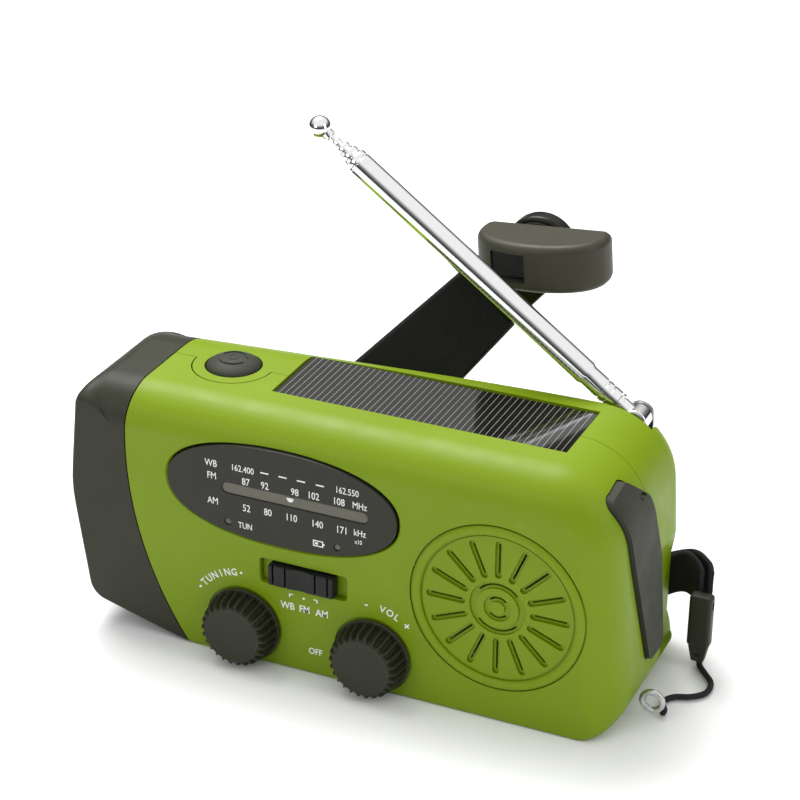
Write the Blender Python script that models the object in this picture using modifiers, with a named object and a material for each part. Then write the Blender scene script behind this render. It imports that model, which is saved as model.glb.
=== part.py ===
"""Hand-crank emergency radio with torch, solar panel, telescopic antenna and wrist strap.

Frame: metres, +Z up. The origin is the centre of the flat bottom. X runs along the
case towards the port end, -Y faces the user (dial, knobs and speaker), +Y is the back.
"""
import math

import bmesh
import bpy
from mathutils import Matrix, Vector

MM = 0.001

# Case: overall size, wall and edge rounding
DEPTH = 45 * MM
HALF_DEPTH = DEPTH / 2
WALL = 2 * MM
FRONT_ROUND = 9 * MM
BACK_ROUND = 7.5 * MM
SHARP_SHARE = 0.08
BACK_SWELL, SWELL_START, SWELL_SPAN = 13 * MM, 6, 44
GAP = 0.3 * MM
SPLIT_Y = -1 * MM
# Corners of the case seen from the front: x, z, corner radius (mm)
CASE_CORNERS = ((65.2, 0, 9), (61.2, 60, 16), (-61.6, 60, 6), (-64.6, 34, 40), (-61, 6.5, 5), (-37, 0, 20))
# The torch cap meets the shells along a cylinder parallel to Y
CAP_ARC_X, CAP_ARC_Z, CAP_ARC_R = 33 * MM, 46 * MM, 83 * MM

# Front controls, as (x, z)
DIAL = (-12.4, 42.1)
DIAL_HALF = (27.1, 11.4)
TRACK = (-24.8, 6.6, 42.3)
POINTER_X = -10.0
TUNING = (-22.0, 9.0)
VOLUME = (9.0, 9.0)
SWITCH = (-7.5, 23.7)
SWITCH_SLOT = (20.3, 5.8)
SPEAKER = (37.3, 27.7)
SPEAKER_RING = 19.4

# Top: torch button and solar panel
BUTTON = (-34.2, -1.1)
BUTTON_R = 6.1
BUTTON_RING_R = 9.0
PANEL_LOW, PANEL_HIGH = (-20.6, -8.8), (46.1, 10.65)

# Crank: the arm's hinge sits on the crank axis; the arm is lifted for turning
CRANK = Vector((-20.4, 18.5, 35)) * MM
CRANK_TURN = math.radians(48.1)
CRANK_LIFT = math.radians(34)
ARM_RISE = 48.3
ARM_PAD = 19.0
ARM_HALF = 2.2
DISH_FLOOR = 13.9
KNOB_SHIFT = Vector((3.6, 0, 1.6)) * MM

# Gear train: module, teeth and axes as (x, z)
MODULE = 0.75
CRANK_TEETH, PINION_TEETH, WHEEL_TEETH = 28, 12, 24
CRANK_AXIS = (-20.4, 35.0)
STEP_ANGLE = math.radians(-30)
GENERATOR_ANGLE = math.radians(75)

# Antenna
ANTENNA = Vector((52, 18.3, 56)) * MM
ANTENNA_RISE = math.radians(36.1)
ANTENNA_REACH = 91.6
ANTENNA_TUBES = ((2.75, 2.4), (2.2, 1.85), (1.65, 1.3), (1.1, 0.75))
ANTENNA_SIDES = 16

TORCH_Y = -3.0
SCREWS = ((-34.0, 7.5), (52.0, 8.0), (-44.5, 40.0))
BATTERY = (-4.0, 44.0, 11.0, 13.9)
BATTERY_R = 6.5
DOOR_LOW, DOOR_HIGH = (-1, 11.9), (29, 22.4)

for old in list(bpy.data.objects):
    bpy.data.objects.remove(old, do_unlink=True)
PARTS = bpy.data.collections.new("emergency_radio")
CUTTERS = bpy.data.collections.new("cutters")
bpy.context.scene.collection.children.link(PARTS)
bpy.context.scene.collection.children.link(CUTTERS)


def at(x, y, z):
    """A point given in millimetres."""
    return Vector((x, y, z)) * MM


def material(name, colour, roughness, metallic=0.0):
    made = bpy.data.materials.new(name)
    made.use_nodes = True
    shader = made.node_tree.nodes["Principled BSDF"]
    shader.inputs["Base Color"].default_value = (*colour, 1)
    shader.inputs["Roughness"].default_value = roughness
    shader.inputs["Metallic"].default_value = metallic
    return made


LIME = material("lime_case", (0.30, 0.45, 0.04), 0.55)
CHARCOAL = material("charcoal_plastic", (0.055, 0.052, 0.048), 0.5)
BLACK = material("black_plastic", (0.02, 0.02, 0.019), 0.45)
RUBBER = material("dark_rubber", (0.045, 0.043, 0.04), 0.75)
CHROME = material("chrome", (0.8, 0.8, 0.8), 0.12, 1.0)
STEEL = material("steel", (0.55, 0.55, 0.55), 0.35, 1.0)
CLEAR = material("clear_plastic", (0.7, 0.72, 0.72), 0.1)
WHITE = material("white_plastic", (0.75, 0.75, 0.72), 0.4)
BRASS = material("brass", (0.7, 0.5, 0.22), 0.35, 1.0)
BOARD = material("circuit_board", (0.03, 0.18, 0.07), 0.5)
SOLAR = material("solar_cells", (0.03, 0.03, 0.035), 0.2)
PAPER = material("speaker_paper", (0.05, 0.05, 0.05), 0.9)
COPPER = material("copper", (0.7, 0.3, 0.15), 0.4, 1.0)
FABRIC = material("black_webbing", (0.015, 0.015, 0.015), 0.9)


def add(name, mesh, look=None):
    """Link a mesh as a part, or as a cutter when it has no material."""
    made = bpy.data.objects.new(name, mesh)
    if look is None:
        CUTTERS.objects.link(made)
        made.display_type = "WIRE"
        made.hide_render = True
    else:
        PARTS.objects.link(made)
        mesh.materials.append(look)
        mesh.shade_smooth()
        mesh.set_sharp_from_angle(angle=math.radians(35))
    return made


def as_part(thing, look):
    """Turn a form made like a cutter into a visible part."""
    CUTTERS.objects.unlink(thing)
    PARTS.objects.link(thing)
    thing.display_type = "TEXTURED"
    thing.hide_render = False
    thing.data.materials.append(look)
    return thing


def solid(name, build, look=None):
    """An object from a function that fills a bmesh."""
    mesh = bpy.data.meshes.new(name)
    work = bmesh.new()
    build(work)
    bmesh.ops.recalc_face_normals(work, faces=work.faces)
    work.to_mesh(mesh)
    work.free()
    return add(name, mesh, look)


def box(name, low, high, look=None):
    def build(work):
        size = high - low
        place = Matrix.Translation((low + high) / 2) @ Matrix.Diagonal((*size, 1))
        bmesh.ops.create_cube(work, size=1, matrix=place)
    return solid(name, build, look)


def rod(name, start, end, radius, look=None, end_radius=None, sides=32):
    """A cylinder, or a cone when the two radii differ, between two points."""
    def build(work):
        along = end - start
        turn = Vector((0, 0, 1)).rotation_difference(along).to_matrix().to_4x4()
        place = Matrix.Translation((start + end) / 2) @ turn
        last = radius if end_radius is None else end_radius
        bmesh.ops.create_cone(work, cap_ends=True, segments=sides, radius1=radius * MM,
                              radius2=last * MM, depth=along.length, matrix=place)
    return solid(name, build, look)


def loft(name, rings, look=None):
    """Closed rings of points joined one to the next, with flat ends."""
    def build(work):
        loops = [[work.verts.new(point) for point in ring] for ring in rings]
        for near, far in zip(loops, loops[1:]):
            for i in range(len(near)):
                j = (i + 1) % len(near)
                work.faces.new((near[i], near[j], far[j], far[i]))
        work.faces.new(loops[0])
        work.faces.new(list(reversed(loops[-1])))
    return solid(name, build, look)


def plate(name, outline, low, high, plane="XZ", look=None):
    """A flat outline (mm) in a plane, filled and extruded between two heights (mm)."""
    curve = bpy.data.curves.new(name, "CURVE")
    curve.dimensions = "2D"
    curve.fill_mode = "BOTH"
    curve.extrude = (high - low) / 2 * MM
    line = curve.splines.new("POLY")
    line.points.add(len(outline) - 1)
    for point, (u, v) in zip(line.points, outline):
        point.co = (u * MM, v * MM, 0, 1)
    line.use_cyclic_u = True
    guide = bpy.data.objects.new(name + "_outline", curve)
    bpy.context.scene.collection.objects.link(guide)
    seen = guide.evaluated_get(bpy.context.evaluated_depsgraph_get())
    mesh = bpy.data.meshes.new_from_object(seen)
    bpy.data.objects.remove(guide, do_unlink=True)
    frames = {"XZ": Matrix(((1, 0, 0), (0, 0, 1), (0, 1, 0))),
              "YZ": Matrix(((0, 0, 1), (1, 0, 0), (0, 1, 0))),
              "XY": Matrix.Identity(3)}
    shift = Matrix.Translation((0, 0, (low + high) / 2 * MM))
    work = bmesh.new()
    work.from_mesh(mesh)
    bmesh.ops.remove_doubles(work, verts=work.verts, dist=0.001 * MM)
    bmesh.ops.dissolve_limit(work, angle_limit=0.001, verts=work.verts, edges=work.edges)
    bmesh.ops.transform(work, matrix=frames[plane].to_4x4() @ shift, verts=work.verts)
    bmesh.ops.recalc_face_normals(work, faces=work.faces)
    work.to_mesh(mesh)
    work.free()
    return add(name, mesh, look)


def turned(name, profile, centre, look=None, axis="Y", steps=40):
    """A profile of (radius, height) points in mm, turned about an axis through centre."""
    mesh = bpy.data.meshes.new(name)
    ring = profile[0][0] > 0
    count = len(profile)
    edges = [(i, (i + 1) % count) for i in range(count if ring else count - 1)]
    mesh.from_pydata([(r * MM, 0, h * MM) for r, h in profile], edges, [])
    made = bpy.data.objects.new(name + "_profile", mesh)
    bpy.context.scene.collection.objects.link(made)
    spin = made.modifiers.new("spin", "SCREW")
    spin.steps = spin.render_steps = steps
    spin.use_merge_vertices = True
    spin.merge_threshold = 0.01 * MM
    whole = bpy.data.meshes.new_from_object(made.evaluated_get(bpy.context.evaluated_depsgraph_get()))
    bpy.data.objects.remove(made, do_unlink=True)
    turns = {"Y": Matrix.Rotation(-math.pi / 2, 4, "X"), "X": Matrix.Rotation(math.pi / 2, 4, "Y"),
             "Z": Matrix.Identity(4)}
    work = bmesh.new()
    work.from_mesh(whole)
    bmesh.ops.transform(work, matrix=Matrix.Translation(centre) @ turns[axis], verts=work.verts)
    bmesh.ops.recalc_face_normals(work, faces=work.faces)
    work.to_mesh(whole)
    work.free()
    return add(name, whole, look)


def combine(target, operation, *others):
    for other in others:
        step = target.modifiers.new(other.name, "BOOLEAN")
        step.operation = operation
        step.object = other
    return target


def cut(target, *others):
    return combine(target, "DIFFERENCE", *others)


def join(target, *others):
    return combine(target, "UNION", *others)


def keep(target, *others):
    return combine(target, "INTERSECT", *others)


def soften(target, width, segments=2):
    edge = target.modifiers.new("soft_edges", "BEVEL")
    edge.width = width * MM
    edge.segments = segments
    edge.limit_method = "ANGLE"
    edge.angle_limit = math.radians(50)
    return target


def set_axis(thing, point):
    """Move an object's origin to a point without moving its shape."""
    thing.data.transform(Matrix.Translation(-point))
    thing.location = point
    return thing


def rounded_outline(corners, inset=0.0):
    """A convex outline with round corners, moved inwards by an inset (all in mm)."""
    count = len(corners)
    lines = []
    for i in range(count):
        a = Vector(corners[i][:2])
        b = Vector(corners[(i + 1) % count][:2])
        along = (b - a).normalized()
        inward = Vector((-along.y, along.x))
        lines.append((a + inward * inset, along, inward))
    points = []
    for i, (x, z, radius) in enumerate(corners):
        _, before, inward_before = lines[i - 1]
        start, after, inward_after = lines[i]
        angle = before.angle(after)
        half = (inward_before + inward_after).normalized()
        corner = Vector((x, z)) + half * inset / math.cos(angle / 2)
        round_off = max(radius - inset, 0.5)
        centre = corner + half * round_off / math.cos(angle / 2)
        steps = max(2, round(math.degrees(angle) / 18))
        for k in range(steps + 1):
            turn = Matrix.Rotation(angle * (k / steps - 0.5), 2)
            points.append(tuple(centre - turn @ half * round_off))
    return points


def ellipse(centre, half, count=40):
    return [(centre[0] + half[0] * math.cos(t), centre[1] + half[1] * math.sin(t))
            for t in (2 * math.pi * i / count for i in range(count))]


def capsule(centre, half_u, half_v, count=10):
    """A stadium outline, taller than wide."""
    points = []
    for side in (1, -1):
        for i in range(count + 1):
            t = math.pi * i / count
            points.append((centre[0] + side * half_u * math.cos(t),
                           centre[1] + side * (half_v - half_u + half_u * math.sin(t))))
    return points


def ease(t):
    t = min(max(t, 0.0), 1.0)
    return t * t * (3 - 2 * t)


def edge_rounds(inset):
    """The outline, with the front and back edge radii at each of its points (mm).

    The front edge is round at the top and the port end and almost sharp elsewhere. The back
    edge grows rounder towards the torch.
    """
    outline = rounded_outline(CASE_CORNERS, inset)
    made = []
    for (x, z), (x_in, z_in) in zip(outline, rounded_outline(CASE_CORNERS, inset + 0.2)):
        out = Vector((x - x_in, z - z_in)).normalized()
        front = FRONT_ROUND / MM * (SHARP_SHARE + (1 - SHARP_SHARE) * ease((out.x + out.y + 1) / 2))
        swell = BACK_SWELL / MM * ease((-x - SWELL_START) / SWELL_SPAN) * max(out.y, -out.x, 0)
        made.append(((x, z), max(front - inset, 0.3), max(BACK_ROUND / MM + swell - inset, 0.3)))
    return made


def case_form(name, inset=0.0):
    """The outer form of the case, shrunk by an inset in mm."""
    rounds = edge_rounds(inset)
    half = HALF_DEPTH / MM - inset
    rings = []
    for face, index, largest, steps in ((-1, 1, FRONT_ROUND / MM, range(5)),
                                        (1, 2, (BACK_ROUND + BACK_SWELL) / MM, range(4, -1, -1))):
        for step in steps:
            t = math.radians(22.5 * step)
            deep = rounded_outline(CASE_CORNERS, inset + largest * (1 - math.sin(t)))
            ring = []
            for point, (x_deep, z_deep) in zip(rounds, deep):
                (x, z), radius = point[0], point[index]
                share = radius / largest
                y = face * (half - radius * (1 - math.cos(t)))
                ring.append(at(x + (x_deep - x) * share, y, z + (z_deep - z) * share))
            rings.append(ring)
    return loft(name, rings)


def arc_cutter(name, radius):
    """A cylinder along Y that parts the torch cap from the shells."""
    centre = at(CAP_ARC_X / MM, 0, CAP_ARC_Z / MM)
    return rod(name, centre - at(0, 40, 0), centre + at(0, 40, 0), radius / MM, sides=160)


# Outlines of the port flap, seen from the port end: y, z, corner radius
FLAP_CORNERS = ((-4.5, 12, 2), (4.2, 11.5, 2), (3.6, 34, 6), (-1.5, 50, 3), (-8, 55.5, 2), (-17, 55, 2),
                (-12.5, 38, 20))


def flap_prism(name, spread=0.0):
    return plate(name, rounded_outline(FLAP_CORNERS, -spread), 40, 80, "YZ")


def case_cavity(name, *ribs):
    """The hollow of the case, less the ribs and seats that stay solid."""
    hollow = case_form(name, WALL / MM)
    seat = box(name + "_panel_seat", at(-23, -11, 57), at(48.5, 13, 60))
    return cut(hollow, seat, *ribs)


def top_cutters(label):
    """The recess of the solar panel and the hole of the torch button."""
    recess = box(label + "_panel_recess", at(PANEL_LOW[0] - 0.3, PANEL_LOW[1] - 0.3, 58.6),
                 at(PANEL_HIGH[0] + 0.3, PANEL_HIGH[1] + 0.3, 62))
    hole = rod(label + "_button_hole", at(*BUTTON, 50), at(*BUTTON, 66), BUTTON_R + 0.3)
    return recess, hole


def port_cutters(label):
    """The flap's seat on the port end and the holes of the two sockets."""
    seat = cut(flap_prism(label + "_flap_seat", 0.3), case_form(label + "_flap_floor", 1.0))
    usb = box(label + "_usb_hole", at(58, -2.3, 35.7), at(70, 1.3, 44.3))
    jack = rod(label + "_jack_hole", at(57, -1.9, 24), at(70, -1.9, 24), 3.3)
    return seat, usb, jack


def speaker_slots():
    """Sixteen radial slots round two rings of short arcs."""
    slots = []
    x, z = SPEAKER
    for i in range(16):
        t = 2 * math.pi * i / 16
        out = Vector((math.cos(t), 0, math.sin(t)))
        side = Vector((-out.z, 0, out.x))
        near, far, half = 9.2 * MM, 15.4 * MM, 0.8 * MM
        ring = [at(x, -26, z) + out * r + side * s for r, s in
                ((near, -half * 0.7), (far, -half), (far, half), (near, half * 0.7))]
        back = [point + at(0, 8, 0) for point in ring]
        slots.append(loft("speaker_slot", [ring, back]))
    for radius in (6.3, 3.0):
        for i in range(4):
            start = math.pi / 2 * i + 0.25
            sweep = math.pi / 2 - 0.5
            angles = [start + sweep * k / 4 for k in range(5)]
            rim = [(x + (radius + 0.5) * math.cos(t), z + (radius + 0.5) * math.sin(t)) for t in angles]
            hub = [(x + (radius - 0.5) * math.cos(t), z + (radius - 0.5) * math.sin(t)) for t in angles]
            slots.append(plate("speaker_arc", rim + hub[::-1], -26, -18))
    return slots


def front_shell():
    shell = as_part(case_form("front_shell"), LIME)
    keep(shell, arc_cutter("front_arc", CAP_ARC_R - GAP / 2))
    cut(shell, case_cavity("front_cavity"))
    cut(shell, box("front_half", at(-90, SPLIT_Y / MM - 0.15, -10), at(90, 40, 80)))
    cut(shell, rod("front_ring_notch", at(*BUTTON, 50), at(*BUTTON, 70), BUTTON_RING_R + 0.3, sides=48))
    cut(shell, *top_cutters("front"))
    cut(shell, *port_cutters("front"))
    cut(shell, plate("dial_hole", ellipse(DIAL, (DIAL_HALF[0] + 0.3, DIAL_HALF[1] + 0.3)), -26, -18))
    half_u, half_v = SWITCH_SLOT[0] / 2, SWITCH_SLOT[1] / 2
    cut(shell, box("switch_slot", at(SWITCH[0] - half_u, -26, SWITCH[1] - half_v),
                   at(SWITCH[0] + half_u, -18, SWITCH[1] + half_v)))
    for label, (x, z) in (("tuning", TUNING), ("volume", VOLUME)):
        cut(shell, rod(label + "_hole", at(x, -26, z), at(x, -18, z), 3.6))
    groove = [(SPEAKER_RING - 1.2, -0.6), (SPEAKER_RING - 1.2, 2), (SPEAKER_RING - 0.4, 2),
              (SPEAKER_RING - 0.4, -0.6)]
    cut(shell, turned("speaker_groove", [(r, -h) for r, h in groove], at(SPEAKER[0], -22.5, SPEAKER[1]),
                      steps=48))
    cut(shell, *speaker_slots())
    return shell


def rear_ribs():
    """Walls that stay solid in the rear shell: antenna rail, crank recess, pocket and screw posts."""
    ribs = [box("antenna_rail", at(-45.9, 12.5, 50.5), at(70, 30, 70)),
            box("antenna_seat", at(43.5, 12.2, 48.5), at(70, 30, 70)),
            rod("dish_liner", at(CRANK_AXIS[0], 12.6, CRANK_AXIS[1]), at(CRANK_AXIS[0], 30, CRANK_AXIS[1]),
                21, sides=48),
            box("channel_liner", at(-20, 12.6, 23), at(56.5, 30, 47)),
            box("pocket_liner", at(27, 1.5, 26.6), at(63, 30, 43.4)),
            box("scoop_liner", at(58.4, 3, 3), at(70, 30, 38))]
    for i, (x, z) in enumerate(SCREWS):
        ribs.append(rod("post_%d" % i, at(x, 1, z), at(x, 30, z), 3.6))
    return ribs


def crank_recess():
    """The round dish for the hub, the channel for the folded arm and the pocket for its knob."""
    x, z = CRANK_AXIS
    dish = turned("dish", [(0, DISH_FLOOR), (10.6, DISH_FLOOR), (20.2, 23.2), (20.2, 30), (0, 30)],
                  at(x, 0, z), steps=48)
    channel = plate("channel", [(-20, 24.2), (46, 25.8), (54, 29), (54, 41), (46, 44.2), (-20, 45.8)], 15.6,
                    30)
    pocket = box("pocket", at(28.6, 2.8, 28.2), at(59.5, 30, 41.8))
    shaft = rod("shaft_hole", at(x, 10, z), at(x, 16, z), 2.8)
    return dish, channel, pocket, shaft


def rear_shell():
    shell = as_part(case_form("rear_shell"), LIME)
    keep(shell, arc_cutter("rear_arc", CAP_ARC_R - GAP / 2))
    cut(shell, case_cavity("rear_cavity", *rear_ribs()))
    half = box("rear_half", at(-90, -40, -10), at(90, SPLIT_Y / MM + 0.15, 80))
    cut(half, rod("rear_ring", at(*BUTTON, 50), at(*BUTTON, 90), BUTTON_RING_R, sides=48))
    cut(shell, half)
    cut(shell, *top_cutters("rear"))
    cut(shell, *port_cutters("rear"))
    cut(shell, *crank_recess())
    cut(shell, rod("rail_groove", at(-43.4, 18.3, 56), at(50, 18.3, 56), 3.2),
        box("rail_opening", at(-43.4, 15.1, 56), at(50, 30, 66)),
        box("knuckle_pocket", at(46.5, 14.8, 50.8), at(56.6, 21.8, 70)))
    cut(shell, box("door_hole", at(DOOR_LOW[0] - 0.3, 19, DOOR_LOW[1] - 0.3),
                   at(DOOR_HIGH[0] + 0.3, 26, DOOR_HIGH[1] + 0.3)))
    scoop = [(72, 37), (64.2, 36), (62.4, 31), (60.9, 24), (60.6, 9), (62.4, 5.4), (72, 5)]
    cut(shell, plate("strap_scoop", scoop, 5.2, 30))
    for i, (x, z) in enumerate(SCREWS):
        cut(shell, rod("screw_hole_%d" % i, at(x, -2, z), at(x, 26, z), 1.5, sides=16),
            rod("screw_seat_%d" % i, at(x, 19.4, z), at(x, 26, z), 3.0, sides=24))
    return shell


def torch_cap():
    cap = as_part(case_form("torch_cap"), CHARCOAL)
    cut(cap, arc_cutter("cap_arc", CAP_ARC_R + GAP / 2))
    cut(cap, case_form("cap_cavity", WALL / MM))
    return cut(cap, plate("lens_hole", capsule((TORCH_Y, 31), 10.5, 20.0), -80, -50, "YZ"))


def torch():
    plate("torch_lens", capsule((TORCH_Y, 31), 10.2, 19.7), -63.2, -61.4, "YZ", CLEAR)
    reflector = plate("torch_reflector", capsule((TORCH_Y, 31), 9.7, 19.2), -61.0, -53.6, "YZ", CHROME)
    for i, z in enumerate((18.6, 31.0, 43.4)):
        cut(reflector, rod("bowl_%d" % i, at(-61.6, TORCH_Y, z), at(-55, TORCH_Y, z), 5.9, end_radius=3.2,
                           sides=24),
            rod("led_hole_%d" % i, at(-58, TORCH_Y, z), at(-50, TORCH_Y, z), 2.8, sides=24))
        profile = [(0, -59.2), (1.4, -58.9), (2.2, -58.2), (2.5, -57.2), (2.5, -51.2), (0, -51.2)]
        turned("torch_led_%d" % (i + 1), profile, at(0, TORCH_Y, z), CLEAR, "X", 12)
    box("led_board", at(-50.8, TORCH_Y - 8, 13), at(-49.6, TORCH_Y + 8, 49), BOARD)


def dial():
    """Clear window, printed scale plate and the pointer that slides in its slot."""
    lens = plate("dial_lens", ellipse(DIAL, DIAL_HALF), -22.9, -20.9, look=CLEAR)
    soften(lens, 0.5, 1)
    face = plate("dial_plate", ellipse(DIAL, (DIAL_HALF[0] + 1.4, DIAL_HALF[1] + 1.2)), -18.9, -17.9,
                 look=BLACK)
    low, high, z = TRACK
    cut(face, box("track", at(low - 1, -22, z - 1.2), at(high + 1, -17, z + 1.2)))
    rod("dial_pointer", at(POINTER_X, -20.6, z), at(POINTER_X, -17.2, z), 0.8, WHITE, sides=16)
    for name, x, lamp_z in (("tune_led", -25.1, 34.0), ("charge_led", 0.9, 33.8)):
        cut(face, rod(name + "_hole", at(x, -22, lamp_z), at(x, -17, lamp_z), 1.3, sides=16))
        rod(name, at(x, -20.2, lamp_z), at(x, -17.0, lamp_z), 1.0, CLEAR, sides=16)


def knob(name, centre):
    """A fluted skirt that narrows to a smooth face, with its stem through the case."""
    flutes, points = 26, 52
    rings = []
    for y, radius, groove in ((-23.0, 8.5, 0.45), (-27.6, 7.9, 0.4), (-28.9, 6.6, 0.05)):
        ring = []
        for i in range(points):
            t = 2 * math.pi * i / points
            r = radius + groove * math.cos(flutes * t)
            ring.append(at(centre[0] + r * math.cos(t), y, centre[1] + r * math.sin(t)))
        rings.append(ring)
    body = loft(name, rings, CHARCOAL)
    join(body, rod(name + "_stem", at(centre[0], -25, centre[1]), at(centre[0], -15.4, centre[1]), 3.0,
                   sides=24))
    return body


def slider():
    """The ribbed band selector."""
    x, z = SWITCH
    body = box("band_slider", at(x - 7.7, -22.6, z - 2.5), at(x + 7.7, -20.9, z + 2.5), BLACK)
    for i in range(7):
        left = x - 7.3 + 2.2 * i
        join(body, soften(box("slider_rib_%d" % i, at(left, -24.0, z - 2.3),
                              at(left + 1.4, -22.0, z + 2.3)), 0.3, 1))
    join(body, box("slider_stem", at(x - 1.5, -21.5, z - 1), at(x + 1.5, -19.8, z + 1)))


def speaker():
    centre = at(SPEAKER[0], 0, SPEAKER[1])
    turned("speaker_frame", [(18.4, -19.9), (18.4, -18.6), (16.9, -18.6), (10.2, -10.4), (10.2, -9.3),
                             (5.2, -9.3),
                             (5.2, -10.4), (8.9, -10.4), (15.6, -19.9)], centre, STEEL, steps=32)
    turned("speaker_cone", [(0, -14.6), (3.6, -13.6), (4.6, -13.0), (14.4, -19.6), (14.9, -19.6),
                            (14.9, -19.1),
                            (4.8, -12.2), (3.4, -12.8), (0, -13.8)], centre, PAPER, steps=32)
    rod("speaker_magnet", centre + at(0, -8.9, 0), centre + at(0, -3.6, 0), 11, STEEL, sides=40)


def gear_ring(centre, teeth, y, phase):
    """One slice of a spur gear with straight-flanked, slightly thinned teeth."""
    pitch_r = MODULE * teeth / 2
    tip, root = pitch_r + 0.72 * MODULE, pitch_r - 1.05 * MODULE
    step = 2 * math.pi / teeth
    points = []
    for i in range(teeth):
        middle = phase + i * step
        for r, share in ((root, -0.34), (pitch_r, -0.21), (tip, -0.1), (tip, 0.1), (pitch_r, 0.21),
                         (root, 0.34)):
            t = middle + share * step
            points.append(at(centre[0] + r * math.cos(t), y, centre[1] + r * math.sin(t)))
    return points


def gear(name, centre, teeth, low, high, phase, look):
    return loft(name, [gear_ring(centre, teeth, y, phase) for y in (low, high)], look)


def step_axis():
    reach = MODULE * (CRANK_TEETH + PINION_TEETH) / 2
    return (CRANK_AXIS[0] + reach * math.cos(STEP_ANGLE), CRANK_AXIS[1] + reach * math.sin(STEP_ANGLE))


def generator_axis():
    x, z = step_axis()
    reach = MODULE * (WHEEL_TEETH + PINION_TEETH) / 2
    return (x + reach * math.cos(GENERATOR_ANGLE), z + reach * math.sin(GENERATOR_ANGLE))


def gear_train():
    """Crank gear, step-up gear and generator pinion, in mesh at rest."""
    crank, step, motor = CRANK_AXIS, step_axis(), generator_axis()
    wheel = gear("crank_gear", crank, CRANK_TEETH, 6.8, 9.2, STEP_ANGLE, WHITE)
    cut(wheel, rod("crank_gear_bore", at(crank[0], 5, crank[1]), at(crank[0], 12, crank[1]), 2.7, sides=24))
    set_axis(wheel, at(crank[0], 8, crank[1]))
    pinion_phase = STEP_ANGLE + math.pi + math.pi / PINION_TEETH
    step_up = gear("step_up_gear", step, WHEEL_TEETH, 3.2, 5.4, GENERATOR_ANGLE, WHITE)
    join(step_up, gear("step_pinion", step, PINION_TEETH, 5.0, 9.4, pinion_phase, None),
         rod("step_shaft", at(step[0], 2, step[1]), at(step[0], 11, step[1]), 1.2, sides=16))
    motor_phase = GENERATOR_ANGLE + math.pi + math.pi / PINION_TEETH
    drive = gear("generator_pinion", motor, PINION_TEETH, 3.0, 5.8, motor_phase, BRASS)
    body = rod("generator", at(motor[0], -3.4, motor[1]), at(motor[0], 2.4, motor[1]), 10, STEEL, sides=40)
    deck = box("gear_plate", at(-33, 10, 22.5), at(6.5, 11.2, 47.5), STEEL)
    for i, (x, z, r) in enumerate(((*crank, 2.8), (*step, 1.5))):
        cut(deck, rod("deck_hole_%d" % i, at(x, 9, z), at(x, 12.5, z), r, sides=24))
    for thing, axis in ((step_up, step), (drive, motor), (body, motor)):
        set_axis(thing, at(axis[0], 4, axis[1]))


def empty(name, parent=None):
    made = bpy.data.objects.new(name, None)
    CUTTERS.objects.link(made)
    made.parent = parent
    return made


def hang(thing, parent):
    """Put an object modelled about its own origin under a joint's empty."""
    thing.parent = parent
    return thing


def crank():
    """Hub and shaft, hinge pin, lifted arm and its free-turning knob."""
    turn = empty("crank_spin_axis")
    turn.location = CRANK
    turn.rotation_euler = (0, -CRANK_TURN, 0)
    lift = empty("crank_fold_axis", turn)
    lift.rotation_euler = (0, 0, CRANK_LIFT)

    hub = hang(rod("crank_hub", at(0, -4.3, 0), at(0, -3.1, 0), 9.8, BLACK, sides=48), turn)
    lug = hang(box("hub_lug", at(-2.6, -3.4, -4), at(2.6, 0, 4)), turn)
    eye = hang(rod("hub_eye", at(0, 0, -4), at(0, 0, 4), 2.6, sides=24), turn)
    shaft = hang(rod("hub_shaft", at(0, -14, 0), at(0, -4, 0), 2.4, sides=24), turn)
    join(hub, lug, eye, shaft)
    cut(hub, hang(rod("hub_pin_hole", at(0, 0, -6), at(0, 0, 6), 1.5, sides=16), turn))
    hang(rod("crank_hinge_pin", at(0, 0, -9.4), at(0, 0, 9.4), 1.2, STEEL, sides=16), turn)

    outline = [(-2.2, -9.8), (3, -10), (12, -11.4), (ARM_RISE + 1, -8.9), (ARM_RISE + 1, 8.4), (3, 10),
               (-2.2, 9.8)]
    arm = hang(plate("crank_arm", outline, -ARM_HALF, ARM_HALF, look=BLACK), lift)
    soften(arm, 0.7, 1)
    join(arm, hang(rod("arm_barrel", at(0, 0, -9.7), at(0, 0, 9.7), 2.45, sides=20), lift))
    cut(arm, hang(box("arm_slot", at(-4, -4, -4.4), at(3.4, 4, 4.4)), lift),
        hang(rod("arm_pin_hole", at(0, 0, -12), at(0, 0, 12), 1.5, sides=16), lift))

    bend = Vector((ARM_RISE * math.cos(CRANK_LIFT), ARM_RISE * math.sin(CRANK_LIFT)))
    pad = [(bend.x - 1.2, -8.4)]
    pad += [(bend.x + ARM_PAD + 8 * math.sin(t), -8 * math.cos(t)) for t in (math.pi * k / 12 for k in range(13))]
    pad += [(bend.x - 1.2, 8.4)]
    end = hang(plate("arm_pad", pad, bend.y - ARM_HALF, bend.y + ARM_HALF), turn)
    soften(end, 0.7, 1)
    stud = hang(rod("arm_stud", at(bend.x + ARM_PAD, bend.y - 11, 0), at(bend.x + ARM_PAD, bend.y, 0), 2.2,
                    sides=20), turn)
    join(arm, end, stud)
    reach = Matrix.Rotation(-CRANK_TURN, 3, "Y") @ Vector((bend.x + ARM_PAD, bend.y, 0))
    tip = CRANK + reach * MM
    crank_knob(tip)


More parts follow.
